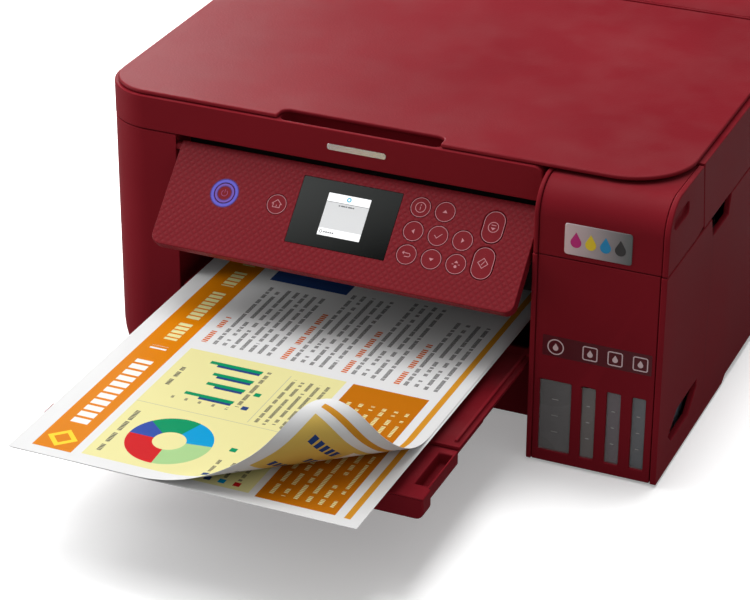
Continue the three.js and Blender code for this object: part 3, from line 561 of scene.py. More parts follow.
def joinRings(shape, lower, upper):
    for i in range(len(lower)):
        j = (i + 1) % len(lower)
        shape.faces.new((lower[i], lower[j], upper[j], upper[i]))


# A closed plate with a chamfered upper edge.
def addPlate(shape, outline, low, high, place, chamfer=0.0):
    levels = [(0.0, low), (0.0, high - chamfer), (-chamfer, high)] if chamfer else [(0.0, low), (0.0, high)]
    rings = []
    for grow, out in levels:
        points = shifted(outline, grow) if grow else outline
        rings.append([shape.verts.new(place(a, b, out)) for a, b in points])
    for lower, upper in zip(rings, rings[1:]):
        joinRings(shape, lower, upper)
    shape.faces.new(rings[-1])
    shape.faces.new(list(reversed(rings[0])))


# A closed band between an outer and an inner outline.
def addBand(shape, outer, inner, low, high, place):
    lines = ((outer, low), (outer, high), (inner, high), (inner, low))
    rings = [[shape.verts.new(place(a, b, out)) for a, b in line] for line, out in lines]
    for k in range(4):
        joinRings(shape, rings[k], rings[(k + 1) % 4])


def addStroke(shape, points, width, low, high, place, closed=False):
    right = shifted(points, width / 2, closed)
    left = shifted(points, -width / 2, closed)
    if closed:
        addBand(shape, right, left, low, high, place)
    else:
        addPlate(shape, right + left[::-1], low, high, place)


def meshOf(name, shape):
    bmesh.ops.recalc_face_normals(shape, faces=shape.faces)
    mesh = bpy.data.meshes.new(name)
    shape.to_mesh(mesh)
    shape.free()
    return mesh


def finishPiece(name, shape, material, body, smooth=False):
    mesh = meshOf(name, shape)
    mesh.materials.append(material)
    made = newObject(name, mesh)
    if smooth:
        softShade(made)
    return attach(made, body)


def platePiece(name, outline, low, high, place, material, body, chamfer=0.0, smooth=False):
    shape = bmesh.new()
    addPlate(shape, outline, low, high, place, chamfer)
    return finishPiece(name, shape, material, body, smooth)


# Places on the upright front faces, and on a key of the panel.
def facing(y):
    return lambda a, b, out: at(a, y - out, b)


def onKey(x, down, lift=0.0):
    return lambda a, b, out: onPanel(x + a, down - b, out + lift)


# Signs on the keys: a thin outline round each key and a plain symbol inside it.
keySigns = {
    "line": 0.34, "symbolLine": 0.42, "thickness": 0.07, "root": -0.02, "faceDrop": 0.05,
    "roundKeys": {
        "home": (-57.4, 29.1), "help": (31.3, 14.2), "up": (46.9, 14.2),
        "left": (31.2, 29.4), "ok": (46.8, 29.4), "right": (62.3, 29.4),
        "back": (31.3, 44.2), "down": (46.9, 44.2), "options": (62.4, 44.2),
    },
    "longKeys": {"stop": (78.2, 17.9), "start": (78.2, 40.6)},
    "outlineRadius": 6.0, "longHalfWidth": 6.15, "longHalfLength": 9.65,
}
# Lines are open, loops closed and plates filled.
keySymbols = {
    "home": {"loops": [[(-2.2, -1.9), (2.2, -1.9), (2.2, 0.3), (3.0, 0.3), (0, 3.0), (-3.0, 0.3),
                        (-2.2, 0.3)]],
             "lines": [[(0, -1.9), (0, -0.3)]]},
    "help": {"loops": [circleOutline(0, 0, 3.1, 28)], "lines": [[(0, -1.7), (0, 0.4)]],
             "plates": [circleOutline(0, 1.5, 0.38, 10)]},
    "up": {"plates": [[(-1.5, -0.6), (1.5, -0.6), (0, 1.1)]]},
    "down": {"plates": [[(1.5, 0.6), (-1.5, 0.6), (0, -1.1)]]},
    "left": {"plates": [[(0.6, -1.5), (0.6, 1.5), (-1.1, 0)]]},
    "right": {"plates": [[(-0.6, 1.5), (-0.6, -1.5), (1.1, 0)]]},
    "ok": {"lines": [[(-2.2, 0.1), (-0.6, -1.5), (2.4, 1.6)]]},
    "back": {"lines": [[(-2.0, 0.9), (1.6, 0.9)],
                       [(1.6, 0.9), (2.3, 0.2), (2.3, -0.6), (1.6, -1.3), (-1.2, -1.3)]],
             "plates": [[(-1.7, 2.0), (-3.0, 0.9), (-1.7, -0.2)]]},
    "options": {"plates": [[(-1.3, 0.7), (1.3, 0.7), (0, 2.1)], circleOutline(0, -1.6, 0.9, 14)],
                "lines": [[(-2.4, -0.2), (-1.4, -0.2)], [(1.4, -0.2), (2.4, -0.2)]]},
    "stop": {"loops": [circleOutline(0, 0, 3.1, 28)], "lines": [[(-1.5, 1.2), (1.5, 1.2)]],
             "plates": [[(-1.5, -0.3), (0, -1.9), (1.5, -0.3)]]},
    "start": {"loops": [[(-3.1, 0), (0, -3.1), (3.1, 0), (0, 3.1)]], "lines": [[(-0.8, -1.3), (0.8, 1.3)]]},
}


def buildKeySign(keyName, x, down, outline):
    shape = bmesh.new()
    levels = keySigns["root"], keySigns["thickness"], onKey(x, down, -keySigns["faceDrop"])
    addStroke(shape, outline, keySigns["line"], *levels, closed=True)
    symbol = keySymbols[keyName]
    for kind, closed in (("loops", True), ("lines", False)):
        for line in symbol.get(kind, []):
            addStroke(shape, line, keySigns["symbolLine"], *levels, closed=closed)
    for plate in symbol.get("plates", []):
        addPlate(shape, plate, *levels)
    finishPiece("sign" + keyName.capitalize(), shape, paleLine, "key_" + keyName)


for keyName, (x, down) in keySigns["roundKeys"].items():
    buildKeySign(keyName, x, down, circleOutline(0, 0, keySigns["outlineRadius"], 48))
for keyName, (x, down) in keySigns["longKeys"].items():
    halfWidth, halfLength = keySigns["longHalfWidth"], keySigns["longHalfLength"]
    buildKeySign(keyName, x, down, roundAbout(0, 0, halfWidth, halfLength, halfWidth - 0.1, 10))
print("key signs ready")

# The power key sits in a ring of blue-violet light.
powerKey = {
    "x": -92.3, "down": 28.4, "line": 0.4, "keyDrop": -0.05,
    "outer": {"radii": (9.6, 6.7), "colour": rgb(0.075, 0.06, 0.42), "middle": 7.7, "spread": 1.9,
              "glow": 0.55},
    "inner": {"radii": (6.2, 3.9), "colour": rgb(0.12, 0.05, 0.34), "middle": 5.6, "spread": 1.7,
              "glow": 0.4},
}


# Light that is strongest in the middle of a ring and fades to both sides of it.
def buildRingGlow(name, look):
    material, tree, shader, place = newMaterial(name)
    offset = addNode(tree, "ShaderNodeMapping", {"Vector": place}, vector_type="POINT")
    offset.inputs["Location"].default_value = -onPanel(powerKey["x"], powerKey["down"])
    length = addNode(tree, "ShaderNodeVectorMath", {0: offset.outputs[0]}, operation="LENGTH")
    radius = times(tree, length.outputs["Value"], 1000.0)
    distance = calc(tree, "ABSOLUTE", calc(tree, "SUBTRACT", radius, look["middle"]))
    share = remap(tree, distance, 0.0, look["spread"], 1.0, 0.0)
    glow = blendColours(tree, share, lighter(look["colour"], 0.3), look["colour"])
    wire(tree, shader, {"Base Color": glow, "Emission Color": glow, "Emission Strength": look["glow"],
                        "Alpha": calc(tree, "MINIMUM", times(tree, share, 1.6), 1.0)})
    return material


def buildPowerRing():
    x, down, drop = powerKey["x"], powerKey["down"], powerKey["keyDrop"]
    for name, glowName, which, lift, body in (("powerRing", "powerGlow", "outer", 0.0, "control_panel"),
                                              ("powerKeyRing", "powerKeyGlow", "inner", drop, "key_power")):
        look = powerKey[which]
        shape = bmesh.new()
        outer, inner = (circleOutline(0, 0, radius, 64) for radius in look["radii"])
        addBand(shape, outer, inner, keySigns["root"], 0.03, onKey(x, down, lift))
        finishPiece(name, shape, buildRingGlow(glowName, look), body)
    shape = bmesh.new()
    levels = keySigns["root"], keySigns["thickness"], onKey(x, down, drop)
    for line in (circleOutline(0, 0, 1.9, 20, 125, 290), [(0, 0.3), (0, 2.5)]):
        addStroke(shape, line, powerKey["line"], *levels)
    finishPiece("signPower", shape, inked("powerSign", rgb(0.3, 0.05, 0.16)), "key_power")


buildPowerRing()

# What the small display shows: a white bar above and below, and plain strokes for words.
displayLook = {"left": -27.0, "right": 0.3, "top": 15.5, "bottom": 42.5, "header": 5.2, "footer": 4.6,
               "drop": 0.1}


def buildDisplay():
    left, right, top, bottom = (displayLook[k] for k in ("left", "right", "top", "bottom"))
    middle = (left + right) / 2
    headerLow, footerTop = top + displayLook["header"], bottom - displayLook["footer"]
    footerMiddle = bottom - displayLook["footer"] / 2

    def place(a, b, out):
        return onPanel(a, b, out - displayLook["drop"])

    def piece(name, material, plates=(), strokes=()):
        shape = bmesh.new()
        for b0, b1 in plates:
            bar = [(left + 0.05, b0), (right - 0.05, b0), (right - 0.05, b1), (left + 0.05, b1)]
            addPlate(shape, bar, -0.01, 0.03, place)
        for line, width in strokes:
            addStroke(shape, line, width, -0.01, 0.06, place, len(line) > 2)
        finishPiece(name, shape, material, "control_panel")

    def dash(a, length, b, width):
        return [(a, b), (a + length, b)], width

    piece("displayBars", screenWhite, plates=[(top + 0.05, headerLow), (footerTop, bottom - 0.05)])
    piece("displayRing", screenCyan, strokes=[(circleOutline(middle, top + 2.6, 1.1, 24), 0.7)])
    strokes = [dash(middle - 5.4 + i * 1.5, 0.95 + 0.25 * ((i * 5) % 3), top + 7.2, 0.75) for i in range(7)]
    strokes += [dash(left + 3.6 + i * 1.4, 1.0, footerMiddle, 0.9) for i in range(5)]
    strokes.append((circleOutline(left + 1.9, footerMiddle, 0.9, 16), 0.35))
    strokes.append(dash(left + 0.2, right - left - 0.4, headerLow + 0.25, 0.18))
    piece("displayWords", screenGrey, strokes=strokes)


buildDisplay()
print("display ready")


# Copies of one small shape in a row, made with geometry nodes.
def buildRowTree():
    tree = bpy.data.node_groups.new("rowOfCopies", "GeometryNodeTree")
    kinds = {"Shape": "Object", "Count": "Int", "Start": "Vector", "Step": "Vector", "Finish": "Material"}
    for label, kind in kinds.items():
        tree.interface.new_socket(name=label, in_out="INPUT", socket_type="NodeSocket" + kind)
    tree.interface.new_socket(name="Row", in_out="OUTPUT", socket_type="NodeSocketGeometry")
    given = addNode(tree, "NodeGroupInput").outputs
    places = {"Count": given["Count"], "Start Location": given["Start"], "Offset": given["Step"]}
    line = addNode(tree, "GeometryNodeMeshLine", places, mode="OFFSET", count_mode="TOTAL")
    shape = addNode(tree, "GeometryNodeObjectInfo", {"Object": given["Shape"]}, transform_space="ORIGINAL")
    copies = addNode(tree, "GeometryNodeInstanceOnPoints",
                     {"Points": line.outputs["Mesh"], "Instance": shape.outputs["Geometry"]})
    solid = addNode(tree, "GeometryNodeRealizeInstances", {"Geometry": copies.outputs["Instances"]})
    finish = addNode(tree, "GeometryNodeSetMaterial",
                     {"Geometry": solid.outputs["Geometry"], "Material": given["Finish"]})
    addNode(tree, "NodeGroupOutput", {"Row": finish.outputs["Geometry"]})
    return tree


rowTree = buildRowTree()
rowSockets = {item.name: item.identifier for item in rowTree.interface.items_tree if item.in_out == "INPUT"}


def rowOf(name, shape, count, start, step, material, body):
    single = newObject(name + "Shape", meshOf(name + "Shape", shape))
    made = newObject(name, bpy.data.meshes.new(name))
    row = made.modifiers.new("row", "NODES")
    row.node_group = rowTree
    values = {"Shape": single, "Count": count, "Start": start, "Step": step, "Finish": material}
    for label, value in values.items():
        row[rowSockets[label]] = value
    baked(made)
    bpy.data.objects.remove(single)
    made.data.materials.clear()
    made.data.materials.append(material)
    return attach(made, body)


# Windows of the ink tanks, with level ticks, and the marks above them.
tankWindows = {
    "black": {"x": 122.85, "width": 19.7, "tick": 4.2}, "yellow": {"x": 143.5, "width": 8.6, "tick": 2.2},
    "magenta": {"x": 158.9, "width": 8.6, "tick": 2.2}, "cyan": {"x": 174.4, "width": 8.4, "tick": 2.2},
}
windowLook = {"low": 9.3, "high": 57.0, "radius": 1.0, "gap": 0.12, "setBack": 0.7, "thickness": 1.2,
              "tickLow": 22.6, "tickPitch": 10.95, "tickHeight": 0.45}


def buildTankWindows():
    look = windowLook
    front = skins["tank"] + look["setBack"]
    for inkName, spot in tankWindows.items():
        half = spot["width"] / 2 - look["gap"]
        outline = roundOutline(spot["x"] - half, spot["x"] + half, look["low"] + look["gap"],
                               look["high"] - look["gap"], look["radius"], 4)
        platePiece("windowPane" + inkName.capitalize(), outline, -look["thickness"], 0.0, facing(front),
                   windowPane, "root", 0.15)
        shape = bmesh.new()
        tick = roundAbout(0, 0, spot["tick"] / 2, look["tickHeight"] / 2, 0.2, 2)
        addPlate(shape, tick, 0.0, 0.04, lambda a, b, out: scaled(a, -out, b))
        rowOf("ticks" + inkName.capitalize(), shape, 3, at(spot["x"], front, look["tickLow"]),
              scaled(0, 0, look["tickPitch"]), tickMark, "root")


buildTankWindows()

inkLabels = {"left": 114.0, "right": 181.0, "low": 73.5, "high": 87.0, "middle": 80.0, "half": 4.3,
             "corner": 1.1, "line": 0.7, "circle": 4.75, "setBack": 0.05,
             "centres": {"black": 122.1, "yellow": 143.3, "magenta": 158.7, "cyan": 174.1}}


# A drop is round below and drawn in to a point above.
def dropOutline(a, b, radius, height):
    return circleOutline(a, b, radius, 18, 155, 230) + [(a, b + height)]


def buildInkLabels():
    look = inkLabels
    strip = roundOutline(look["left"], look["right"], look["low"], look["high"], 0.6, 3)
    platePiece("labelStrip", strip, -0.02, 0.05, facing(skins["tank"]), labelGround, "root")
    marks = bmesh.new()
    levels = -0.02, 0.06, facing(skins["tank"] - look["setBack"])
    for inkName, x in look["centres"].items():
        rim = circleOutline(x, look["middle"], look["circle"], 48)
        if inkName != "black":
            rim = roundAbout(x, look["middle"], look["half"], look["half"], look["corner"], 4)
        addStroke(marks, rim, look["line"], *levels, closed=True)
        addPlate(marks, dropOutline(x, look["middle"] - 0.7, 1.7, 3.1), *levels)
    finishPiece("labelMarks", marks, labelWhite, "root")


buildInkLabels()

# A silver plate with four plain drops on the tank cover, and a slim silver bar on the band.
badge = {"left": 125.0, "right": 165.6, "low": 142.0, "high": 161.6, "radius": 1.8, "thickness": 0.5,
         "dropRadius": 3.3, "dropHeight": 6.6, "dropMiddle": 150.2, "dropPitch": 8.9}
bandBar = {"left": -32.0, "right": 6.0, "low": 171.0, "high": 175.0, "radius": 1.6, "thickness": 0.24}


# Brushed silver with a painted reflection: its colour runs from pale pink at its left to grey at its right.
def buildBadgeSilver():
    material, tree, shader, place, skin = grainedMaterial("badgeSilver", 1500.0)
    share = remap(tree, axes(tree, place)["X"], badge["left"] / 1000, 0.166, 0.0, 1.0)
    # Painted reflection: the colour fades from pale pink to dark grey across the badge.
    tone = blendColours(tree, share, rgb(0.72, 0.6, 0.64), rgb(0.14, 0.16, 0.16))
    wire(tree, shader, {"Base Color": tone, "Metallic": 0.35})
    varyRoughness(tree, shader, skin, 0.3, 0.36)
    bump(tree, shader, skin["Height"], 0.00001)
    return material


def buildBadges():
    look, place = badge, facing(skins["tank"])
    outline = roundOutline(look["left"], look["right"], look["low"], look["high"], look["radius"], 6)
    silver = buildBadgeSilver()
    platePiece("coverBadge", outline, -0.05, look["thickness"], place, silver, "tank_cover", 0.25, True)
    middle = (look["left"] + look["right"]) / 2
    for index, inkName in enumerate(("magenta", "yellow", "cyan", "black")):
        x = middle + (index - 1.5) * look["dropPitch"]
        drop = dropOutline(x, look["dropMiddle"], look["dropRadius"], look["dropHeight"])
        low, high = look["thickness"] - 0.05, look["thickness"] + 0.12
        platePiece("badgeDrop" + inkName.capitalize(), drop, low, high, place, dropColours[inkName],
                   "tank_cover", 0.06)
    look = bandBar
    bar = roundOutline(look["left"], look["right"], look["low"], look["high"], look["radius"], 6)
    platePiece("bandBar", bar, -0.1, look["thickness"], facing(skins["band"]), silverTrim, "scanner_unit",
               0.12, True)


buildBadges()
print("labels and badges ready")

# Small fittings: ventilation slots on the back and a seam line on the right side.
fittings = {"ventCount": 14, "ventWidth": 2.2, "ventHeight": 20.0, "ventPitch": 5.5, "ventX": 22.0,
            "ventZ": 96.0, "seamY": 90.0, "seamWidth": 0.35, "seamLow": 3.0, "seamHigh": 137.0}


def buildFittings():
    look = fittings
    slot = bmesh.new()
    outline = roundAbout(0, 0, look["ventWidth"] / 2, look["ventHeight"] / 2, 1.0, 3)
    addPlate(slot, outline, -0.3, 0.0, lambda a, b, out: scaled(-a, out, b))
    rowOf("rearVents", slot, look["ventCount"], at(look["ventX"], skins["rear"], look["ventZ"]),
          scaled(look["ventPitch"], 0, 0), ventShade, "root")
    near, low, high = look["seamY"], look["seamLow"], look["seamHigh"]
    far = near + look["seamWidth"]
    strip = [(near, low), (far, low), (far, high), (near, high)]
    platePiece("sideSeamLine", strip, -0.05, 0.0, lambda a, b, out: at(skins["side"] + out, a, b),
               seamShade, "root")


buildFittings()


# The printed page. Everything on it is placed by two page distances in millimetres: across from the
# left edge and along from the front edge. The sheet's own UV map carries them, so print follows the curl.
pageLook = {"width": 210.0, "length": 297.0, "thickness": 0.12, "left": -124.6, "front": -208.0,
            "skew": 0.007, "underShift": 1.4, "underHeight": 67.12, "topHeight": 67.5, "cell": 3.0,
            "curlTurn": 38.8, "curlReach": 82.4, "wideRadius": 39.0, "wideLength": 45.8, "tightRadius": 14.2}


def buildPrintedBlock():
    edges = {"Across": 0.0, "Along": 0.0, "Left": 0.0, "Right": 1.0, "Near": 0.0, "Far": 1.0}
    group, given, out = newGroup("printedBlock", edges, ["Mask"])
    inAcross = within(group, given["Across"], given["Left"], given["Right"])
    inAlong = within(group, given["Along"], given["Near"], given["Far"])
    feed(group, out["Mask"], times(group, inAcross, inAlong))
    return group


# Plain strokes that stand for lines of words: rows across the page, broken along it by a noise.
def buildStandInWords():
    sizes = {"Across": 0.0, "Along": 0.0, "Pitch": 4.0, "Height": 0.5, "Letter": 1.4}
    group, given, out = newGroup("standInWords", sizes, ["Mask"])
    rows = calc(group, "DIVIDE", given["Across"], given["Pitch"])
    inRow = calc(group, "LESS_THAN", calc(group, "FRACT", rows), given["Height"])
    row = times(group, calc(group, "FLOOR", rows), 7.31)
    run = calc(group, "DIVIDE", given["Along"], times(group, given["Letter"], 3.0))
    seed = addNode(group, "ShaderNodeCombineXYZ", {0: row, 1: run})
    words = addNode(group, "ShaderNodeTexNoise", {"Vector": seed.outputs[0], "Scale": 1.0, "Detail": 0.0})
    inWord = calc(group, "GREATER_THAN", words.outputs["Fac"], 0.4)
    letter = calc(group, "FRACT", calc(group, "DIVIDE", given["Along"], given["Letter"]))
    inLetter = calc(group, "LESS_THAN", letter, 0.7)
    feed(group, out["Mask"], times(group, inRow, times(group, inWord, inLetter)))
    return group


printedBlock = buildPrintedBlock()
standInWords = buildStandInWords()

printInks = {
    "paper": rgb(0.73, 0.73, 0.73), "orange": rgb(0.66, 0.2, 0.0), "deepOrange": rgb(0.5, 0.15, 0.002),
    "gold": rgb(0.66, 0.45, 0.1), "cream": rgb(0.75, 0.7, 0.33), "white": rgb(0.8, 0.79, 0.76),
    "text": rgb(0.075, 0.07, 0.07), "heading": rgb(0.62, 0.13, 0.02), "green": rgb(0.0, 0.27, 0.11),
    "navy": rgb(0.02, 0.055, 0.2), "blue": rgb(0.03, 0.07, 0.35), "sky": rgb(0.0, 0.3, 0.6),
    "leaf": rgb(0.36, 0.58, 0.25), "red": rgb(0.56, 0.008, 0.012), "amber": rgb(0.62, 0.27, 0.02),
    "grey": rgb(0.45, 0.45, 0.33), "yellow": rgb(0.88, 0.6, 0.03),
}
# Filled blocks in the order they are laid down: ink, left, right, near, far.
frontBlocks = [
    ("orange", 11, 35.5, 7.5, 297), ("cream", 41, 142, 9.5, 142), ("deepOrange", 146.5, 194, 7.8, 141.3),
    ("amber", 199.4, 203.2, 7.3, 297), ("navy", 45, 97, 241, 268), ("grey", 41, 142, 74, 74.4),
    ("grey", 109.6, 110, 77, 135),
]
# The bar chart: where each pair of bars begins across the page, and how far along it stands.
for greenLeft, navyLeft, near in ((59.5, 65, 127.4), (67.2, 70.6, 115.2), (68.7, 74.6, 104), (62, 72, 89.4)):
    frontBlocks += [("green", greenLeft, 93, near + 2.4, near + 5.6),
                    ("navy", navyLeft, 92.5, near, near + 2.4)]
# Small squares of the two legends.
for inkName, left, near in (("navy", 99.6, 88.3), ("green", 99.6, 104.9), ("green", 114.4, 44.2),
                            ("navy", 112.9, 12.9), ("sky", 121.5, 12.9), ("red", 130.6, 12.9)):
    frontBlocks.append((inkName, left, left + 4, near, near + 4))
# Stand-in words: ink, left, right, near, far, pitch, height, letter width.
frontWords = [
    ("white", 18, 29, 37, 137, 12.0, 0.9, 7.6), ("cream", 20.5, 29, 146, 292, 12.0, 0.72, 5.0),
    ("text", 50, 90.5, 152, 232, 5.87, 0.42, 1.15), ("text", 101, 129, 151.6, 244, 6.1, 0.4, 1.15),
    ("text", 140, 162.5, 151.5, 248, 6.2, 0.4, 1.15), ("text", 173, 196.5, 151.5, 236, 6.3, 0.4, 1.15),
    ("text", 113, 139, 78, 132, 5.3, 0.4, 1.1), ("text", 46.6, 49.6, 16, 66, 9.0, 0.3, 1.5),
    ("text", 46.8, 49.8, 97, 120, 9.0, 0.3, 1.5), ("text", 57, 95, 84.6, 87.4, 8.6, 0.2, 1.0),
    ("text", 95.5, 98, 90, 134, 12.0, 0.22, 1.0), ("text", 113.6, 135, 18.4, 34, 8.85, 0.24, 1.1),
    ("cream", 152, 190, 14, 122, 7.2, 0.34, 1.6),
]
for left, near, far in ((42.4, 152, 186), (94.4, 151.7, 213), (133.7, 151.5, 206), (167.1, 151.3, 203)):
    frontWords.append(("heading", left, left + 3.8, near, far, 9.0, 0.4, 2.4))
backBlocks = [("amber", 199.4, 203.2, 7.3, 297), ("gold", 146.5, 194, 7.8, 141.3),
              ("white", 177, 190, 47, 62), ("white", 160, 173, 40, 56)]
backWords = [("navy", 152.5, 190, 14, 42, 13.6, 0.42, 5.2), ("text", 40, 140, 10, 220, 5.0, 0.46, 1.6)]


def layPrint(tree, colour, across, along, blocks, words):
    for inkName, left, right, near, far, *lines in blocks + words:
        mask = placeGroup(tree, printedBlock, Across=across, Along=along, Left=left, Right=right, Near=near,
                          Far=far)["Mask"]
        if lines:
            pitch, height, letter = lines
            fromLeft = calc(tree, "SUBTRACT", across, left)
            mask = times(tree, mask, placeGroup(tree, standInWords, Across=fromLeft, Along=along, Pitch=pitch,
                                                Height=height, Letter=letter)["Mask"])
        colour = blendColours(tree, mask, colour, printInks[inkName])
    return colour


# The ring chart: parts of a ring, each from one angle to the next.
def layRingChart(tree, colour, across, along):
    chart = {"across": 79.4, "along": 40.7, "inner": 9.6, "outer": 25.0,
             "parts": [("red", -180, -86), ("leaf", -86, 8), ("sky", 8, 72), ("green", 72, 140),
                       ("blue", 140, 180)]}
    a = calc(tree, "SUBTRACT", across, chart["across"])
    b = calc(tree, "SUBTRACT", along, chart["along"])
    radius = calc(tree, "SQRT", calc(tree, "ADD", times(tree, a, a), times(tree, b, b)))
    angle = calc(tree, "DEGREES", calc(tree, "ARCTAN2", b, a))
    ring = within(tree, radius, chart["inner"], chart["outer"])
    for inkName, start, end in chart["parts"]:
        part = times(tree, ring, within(tree, angle, start, end))
        colour = blendColours(tree, part, colour, printInks[inkName])
    return colour


def layDiamond(tree, colour, across, along):
    sign = {"across": 23.5, "along": 20.0, "inner": 5.6, "outer": 9.5}
    a = calc(tree, "ABSOLUTE", calc(tree, "SUBTRACT", across, sign["across"]))
    b = calc(tree, "ABSOLUTE", calc(tree, "SUBTRACT", along, sign["along"]))
    outline = within(tree, calc(tree, "ADD", a, b), sign["inner"], sign["outer"])
    return blendColours(tree, outline, colour, printInks["yellow"])


def printPaper(name, blocks, words, charts):
    material, tree, shader, place, fibres = grainedMaterial(name, 1800.0)
    parts = axes(tree, addNode(tree, "ShaderNodeUVMap", uv_map="pageMap").outputs[0])
    across = times(tree, parts["X"], pageLook["width"])
    along = times(tree, parts["Y"], pageLook["length"])
    colour = blendColours(tree, fibres["Tone"], lighter(printInks["paper"], 0.985), printInks["paper"])
    colour = layPrint(tree, colour, across, along, blocks, words)
    if charts:
        colour = layDiamond(tree, layRingChart(tree, colour, across, along), across, along)
    wire(tree, shader, {"Base Color": colour, "Roughness": 0.55, "Specular IOR Level": 0.06})
    bump(tree, shader, fibres["Height"], 0.000008)
    return material


printFront = printPaper("printFront", frontBlocks, frontWords, True)
printBack = printPaper("printBack", backBlocks, backWords, False)
paperEdge = inked("paperEdge", printInks["paper"], roughness=0.8)


def flatPage(u, v, out, shift, height):
    return at(pageLook["left"] + shift + u + pageLook["skew"] * v, pageLook["front"] + v, height + out)


# The front right corner of the upper sheet rolls back: a wide bend first, then a tighter one.
def curledPage(u, v, out, shift, height):
    look = pageLook
    turn = math.radians(look["curlTurn"])
    toCorner = Vector((math.sin(turn), -math.cos(turn)))
    flat = Vector((u - look["width"], v))
    past = look["curlReach"] + flat.dot(toCorner)
    if past <= 0:
        return flatPage(u, v, out, shift, height)
    wide, tight = look["wideRadius"], look["tightRadius"]
    angle = min(past, look["wideLength"]) / wide
    run, rise = wide * math.sin(angle), wide * (1 - math.cos(angle))
    if past > look["wideLength"]:
        onward = angle + (past - look["wideLength"]) / tight
        run += tight * (math.sin(onward) - math.sin(angle))
        rise += tight * (math.cos(angle) - math.cos(onward))
        angle = onward
    ground = flat + toCorner * (run - past - out * math.sin(angle))
    x = look["left"] + look["width"] + shift + ground.x + look["skew"] * ground.y
    return at(x, look["front"] + ground.y, height + rise + out * math.cos(angle))


def buildSheet(name, place, shift, height):
    look = pageLook
    columns, rows = int(look["width"] / look["cell"]), int(look["length"] / look["cell"])
    shape = bmesh.new()
    uvLayer = shape.loops.layers.uv.new("pageMap")

    def corner(i, j, out):
        u, v = look["width"] * i / columns, look["length"] * j / rows
        return shape.verts.new(place(u, v, out, shift, height))

    def gridAt(out):
        return [[corner(i, j, out) for j in range(rows + 1)] for i in range(columns + 1)]

    grids = [gridAt(look["thickness"]), gridAt(0.0)]

    # each corner of a face: upper or lower grid, column, row
    def face(finish, *spots):
        made = shape.faces.new([grids[k][i][j] for k, i, j in spots])
        made.material_index = finish
        made.smooth = True
        for loop, (k, i, j) in zip(made.loops, spots):
            loop[uvLayer].uv = (i / columns, j / rows)

    for i in range(columns):
        for j in range(rows):
            face(0, (0, i, j), (0, i + 1, j), (0, i + 1, j + 1), (0, i, j + 1))
            face(1, (1, i, j), (1, i, j + 1), (1, i + 1, j + 1), (1, i + 1, j))
    for i in range(columns):
        face(2, (1, i, 0), (1, i + 1, 0), (0, i + 1, 0), (0, i, 0))
        face(2, (0, i, rows), (0, i + 1, rows), (1, i + 1, rows), (1, i, rows))
    for j in range(rows):
        face(2, (0, 0, j), (0, 0, j + 1), (1, 0, j + 1), (1, 0, j))
        face(2, (1, columns, j), (1, columns, j + 1), (0, columns, j + 1), (0, columns, j))
    mesh = bpy.data.meshes.new(name)
    shape.to_mesh(mesh)
    shape.free()
    for material in (printFront, printBack, paperEdge):
        mesh.materials.append(material)
    mesh.set_sharp_from_angle(angle=math.radians(60))
    made = newObject(name, mesh)
    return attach(made, "printed_pages")


underSheet = buildSheet("printedPageUnder", flatPage, pageLook["underShift"], pageLook["underHeight"])
topSheet = buildSheet("printedPageTop", curledPage, 0.0, pageLook["topHeight"])
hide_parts("printed_pages")
print("printed pages ready")


# Floor, light and camera. The camera sees the floor as white; to everything else it is a dim grey.
def buildFloor():
    mesh = bpy.data.meshes.new("floor")
    half = 6.0
    corners = [(-half, -half, 0), (half, -half, 0), (half, half, 0), (-half, half, 0)]
    mesh.from_pydata(corners, [], [(0, 1, 2, 3)])
    material, tree, shader, place, skin = grainedMaterial("floorWhite", 200.0)
    seen = addNode(tree, "ShaderNodeLightPath").outputs["Is Camera Ray"]
    tone = blendColours(tree, skin["Tone"], rgb(0.93, 0.93, 0.93), rgb(0.94, 0.94, 0.94))
    wire(tree, shader, {"Base Color": blendColours(tree, seen, rgb(0.2, 0.2, 0.2), tone),
                        "Emission Color": rgb(1, 1, 1), "Emission Strength": times(tree, seen, 0.25),
                        "Roughness": 0.9, "Specular IOR Level": 0.1})
    mesh.materials.append(material)
    floor = newObject("floor", mesh)
    return floor


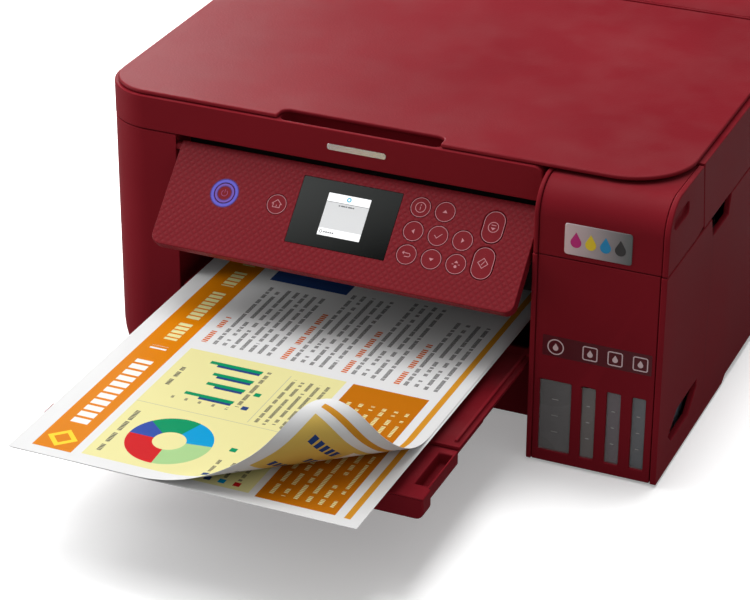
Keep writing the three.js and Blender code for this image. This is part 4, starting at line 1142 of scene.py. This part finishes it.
# Lamps in metres and watts: place, target, width, height, power.
lamps = {
    "topLight": ((-0.25, 0.05, 2.2), (0, 0, 0), 1.5, 1.5, 21),
    "keyLight": ((-0.75, 0.15, 1.1), (-0.1, 0, 0.1), 0.6, 0.8, 4.5),
    "leftLight": ((-1.6, -0.4, 1.0), (-0.1, 0, 0.1), 0.6, 1.4, 12),
    "sheenLight": ((-1.15, 1.35, 0.95), (-0.12, 0.1, 0.18), 0.6, 0.6, 9),
    "floorGlow": ((-0.66, -0.16, 0.03), (-0.18, -0.05, 0.1), 0.4, 0.12, 0.5),
    "floorWash": ((0.15, 0.5, 2.4), (0, 0, 0), 0.8, 0.8, 26),
}


def buildLight(floor):
    world = bpy.data.worlds.new("studio")
    world.use_nodes = True
    tree = world.node_tree
    mirrored = addNode(tree, "ShaderNodeLightPath").outputs["Is Glossy Ray"]
    strength = remap(tree, mirrored, 0.0, 1.0, 0.45, 0.03)
    wire(tree, tree.nodes["Background"], {0: rgb(1, 1, 1), 1: strength})
    bpy.context.scene.world = world
    made = {}
    for name, (place, target, width, height, power) in lamps.items():
        light = bpy.data.lights.new(name, "AREA")
        light.shape = "RECTANGLE"
        light.size, light.size_y = width, height
        light.energy = power
        made[name] = newObject(name, light)
        made[name].location = place
        made[name].rotation_euler = (Vector(target) - Vector(place)).to_track_quat("-Z", "Y").to_euler()
    made["floorGlow"].visible_camera = False
    floorOnly = bpy.data.collections.new("floorOnly")
    floorOnly.objects.link(floor)
    made["floorWash"].light_linking.receiver_collection = floorOnly


def buildCamera():
    look = {"place": (570.15, -1309.87, 833.96), "azimuth": 23.366, "elevation": 27.239, "roll": 0.211,
            "lens": 129.29, "shiftX": 0.0066, "shiftY": -0.0256}
    azimuth, elevation, roll = (math.radians(look[k]) for k in ("azimuth", "elevation", "roll"))
    level = Vector((math.cos(azimuth), math.sin(azimuth), 0))
    away = Vector((-math.sin(azimuth), math.cos(azimuth), 0))
    ahead = away * math.cos(elevation) - Vector((0, 0, math.sin(elevation)))
    right = level * math.cos(roll) + level.cross(ahead) * math.sin(roll)
    up = right.cross(ahead)
    camera = bpy.data.cameras.new("camera")
    camera.lens = look["lens"]
    camera.sensor_width = 36
    camera.shift_x, camera.shift_y = look["shiftX"], look["shiftY"]
    camera.dof.use_dof = False
    made = newObject("camera", camera)
    turned = Matrix((right, up, -ahead)).transposed().to_4x4()
    turned.translation = at(*look["place"])
    made.matrix_world = turned
    bpy.context.scene.camera = made


buildLight(buildFloor())
buildCamera()
bpy.context.scene.view_settings.view_transform = "Standard"
print("stage ready")

bpy.context.view_layer.update()
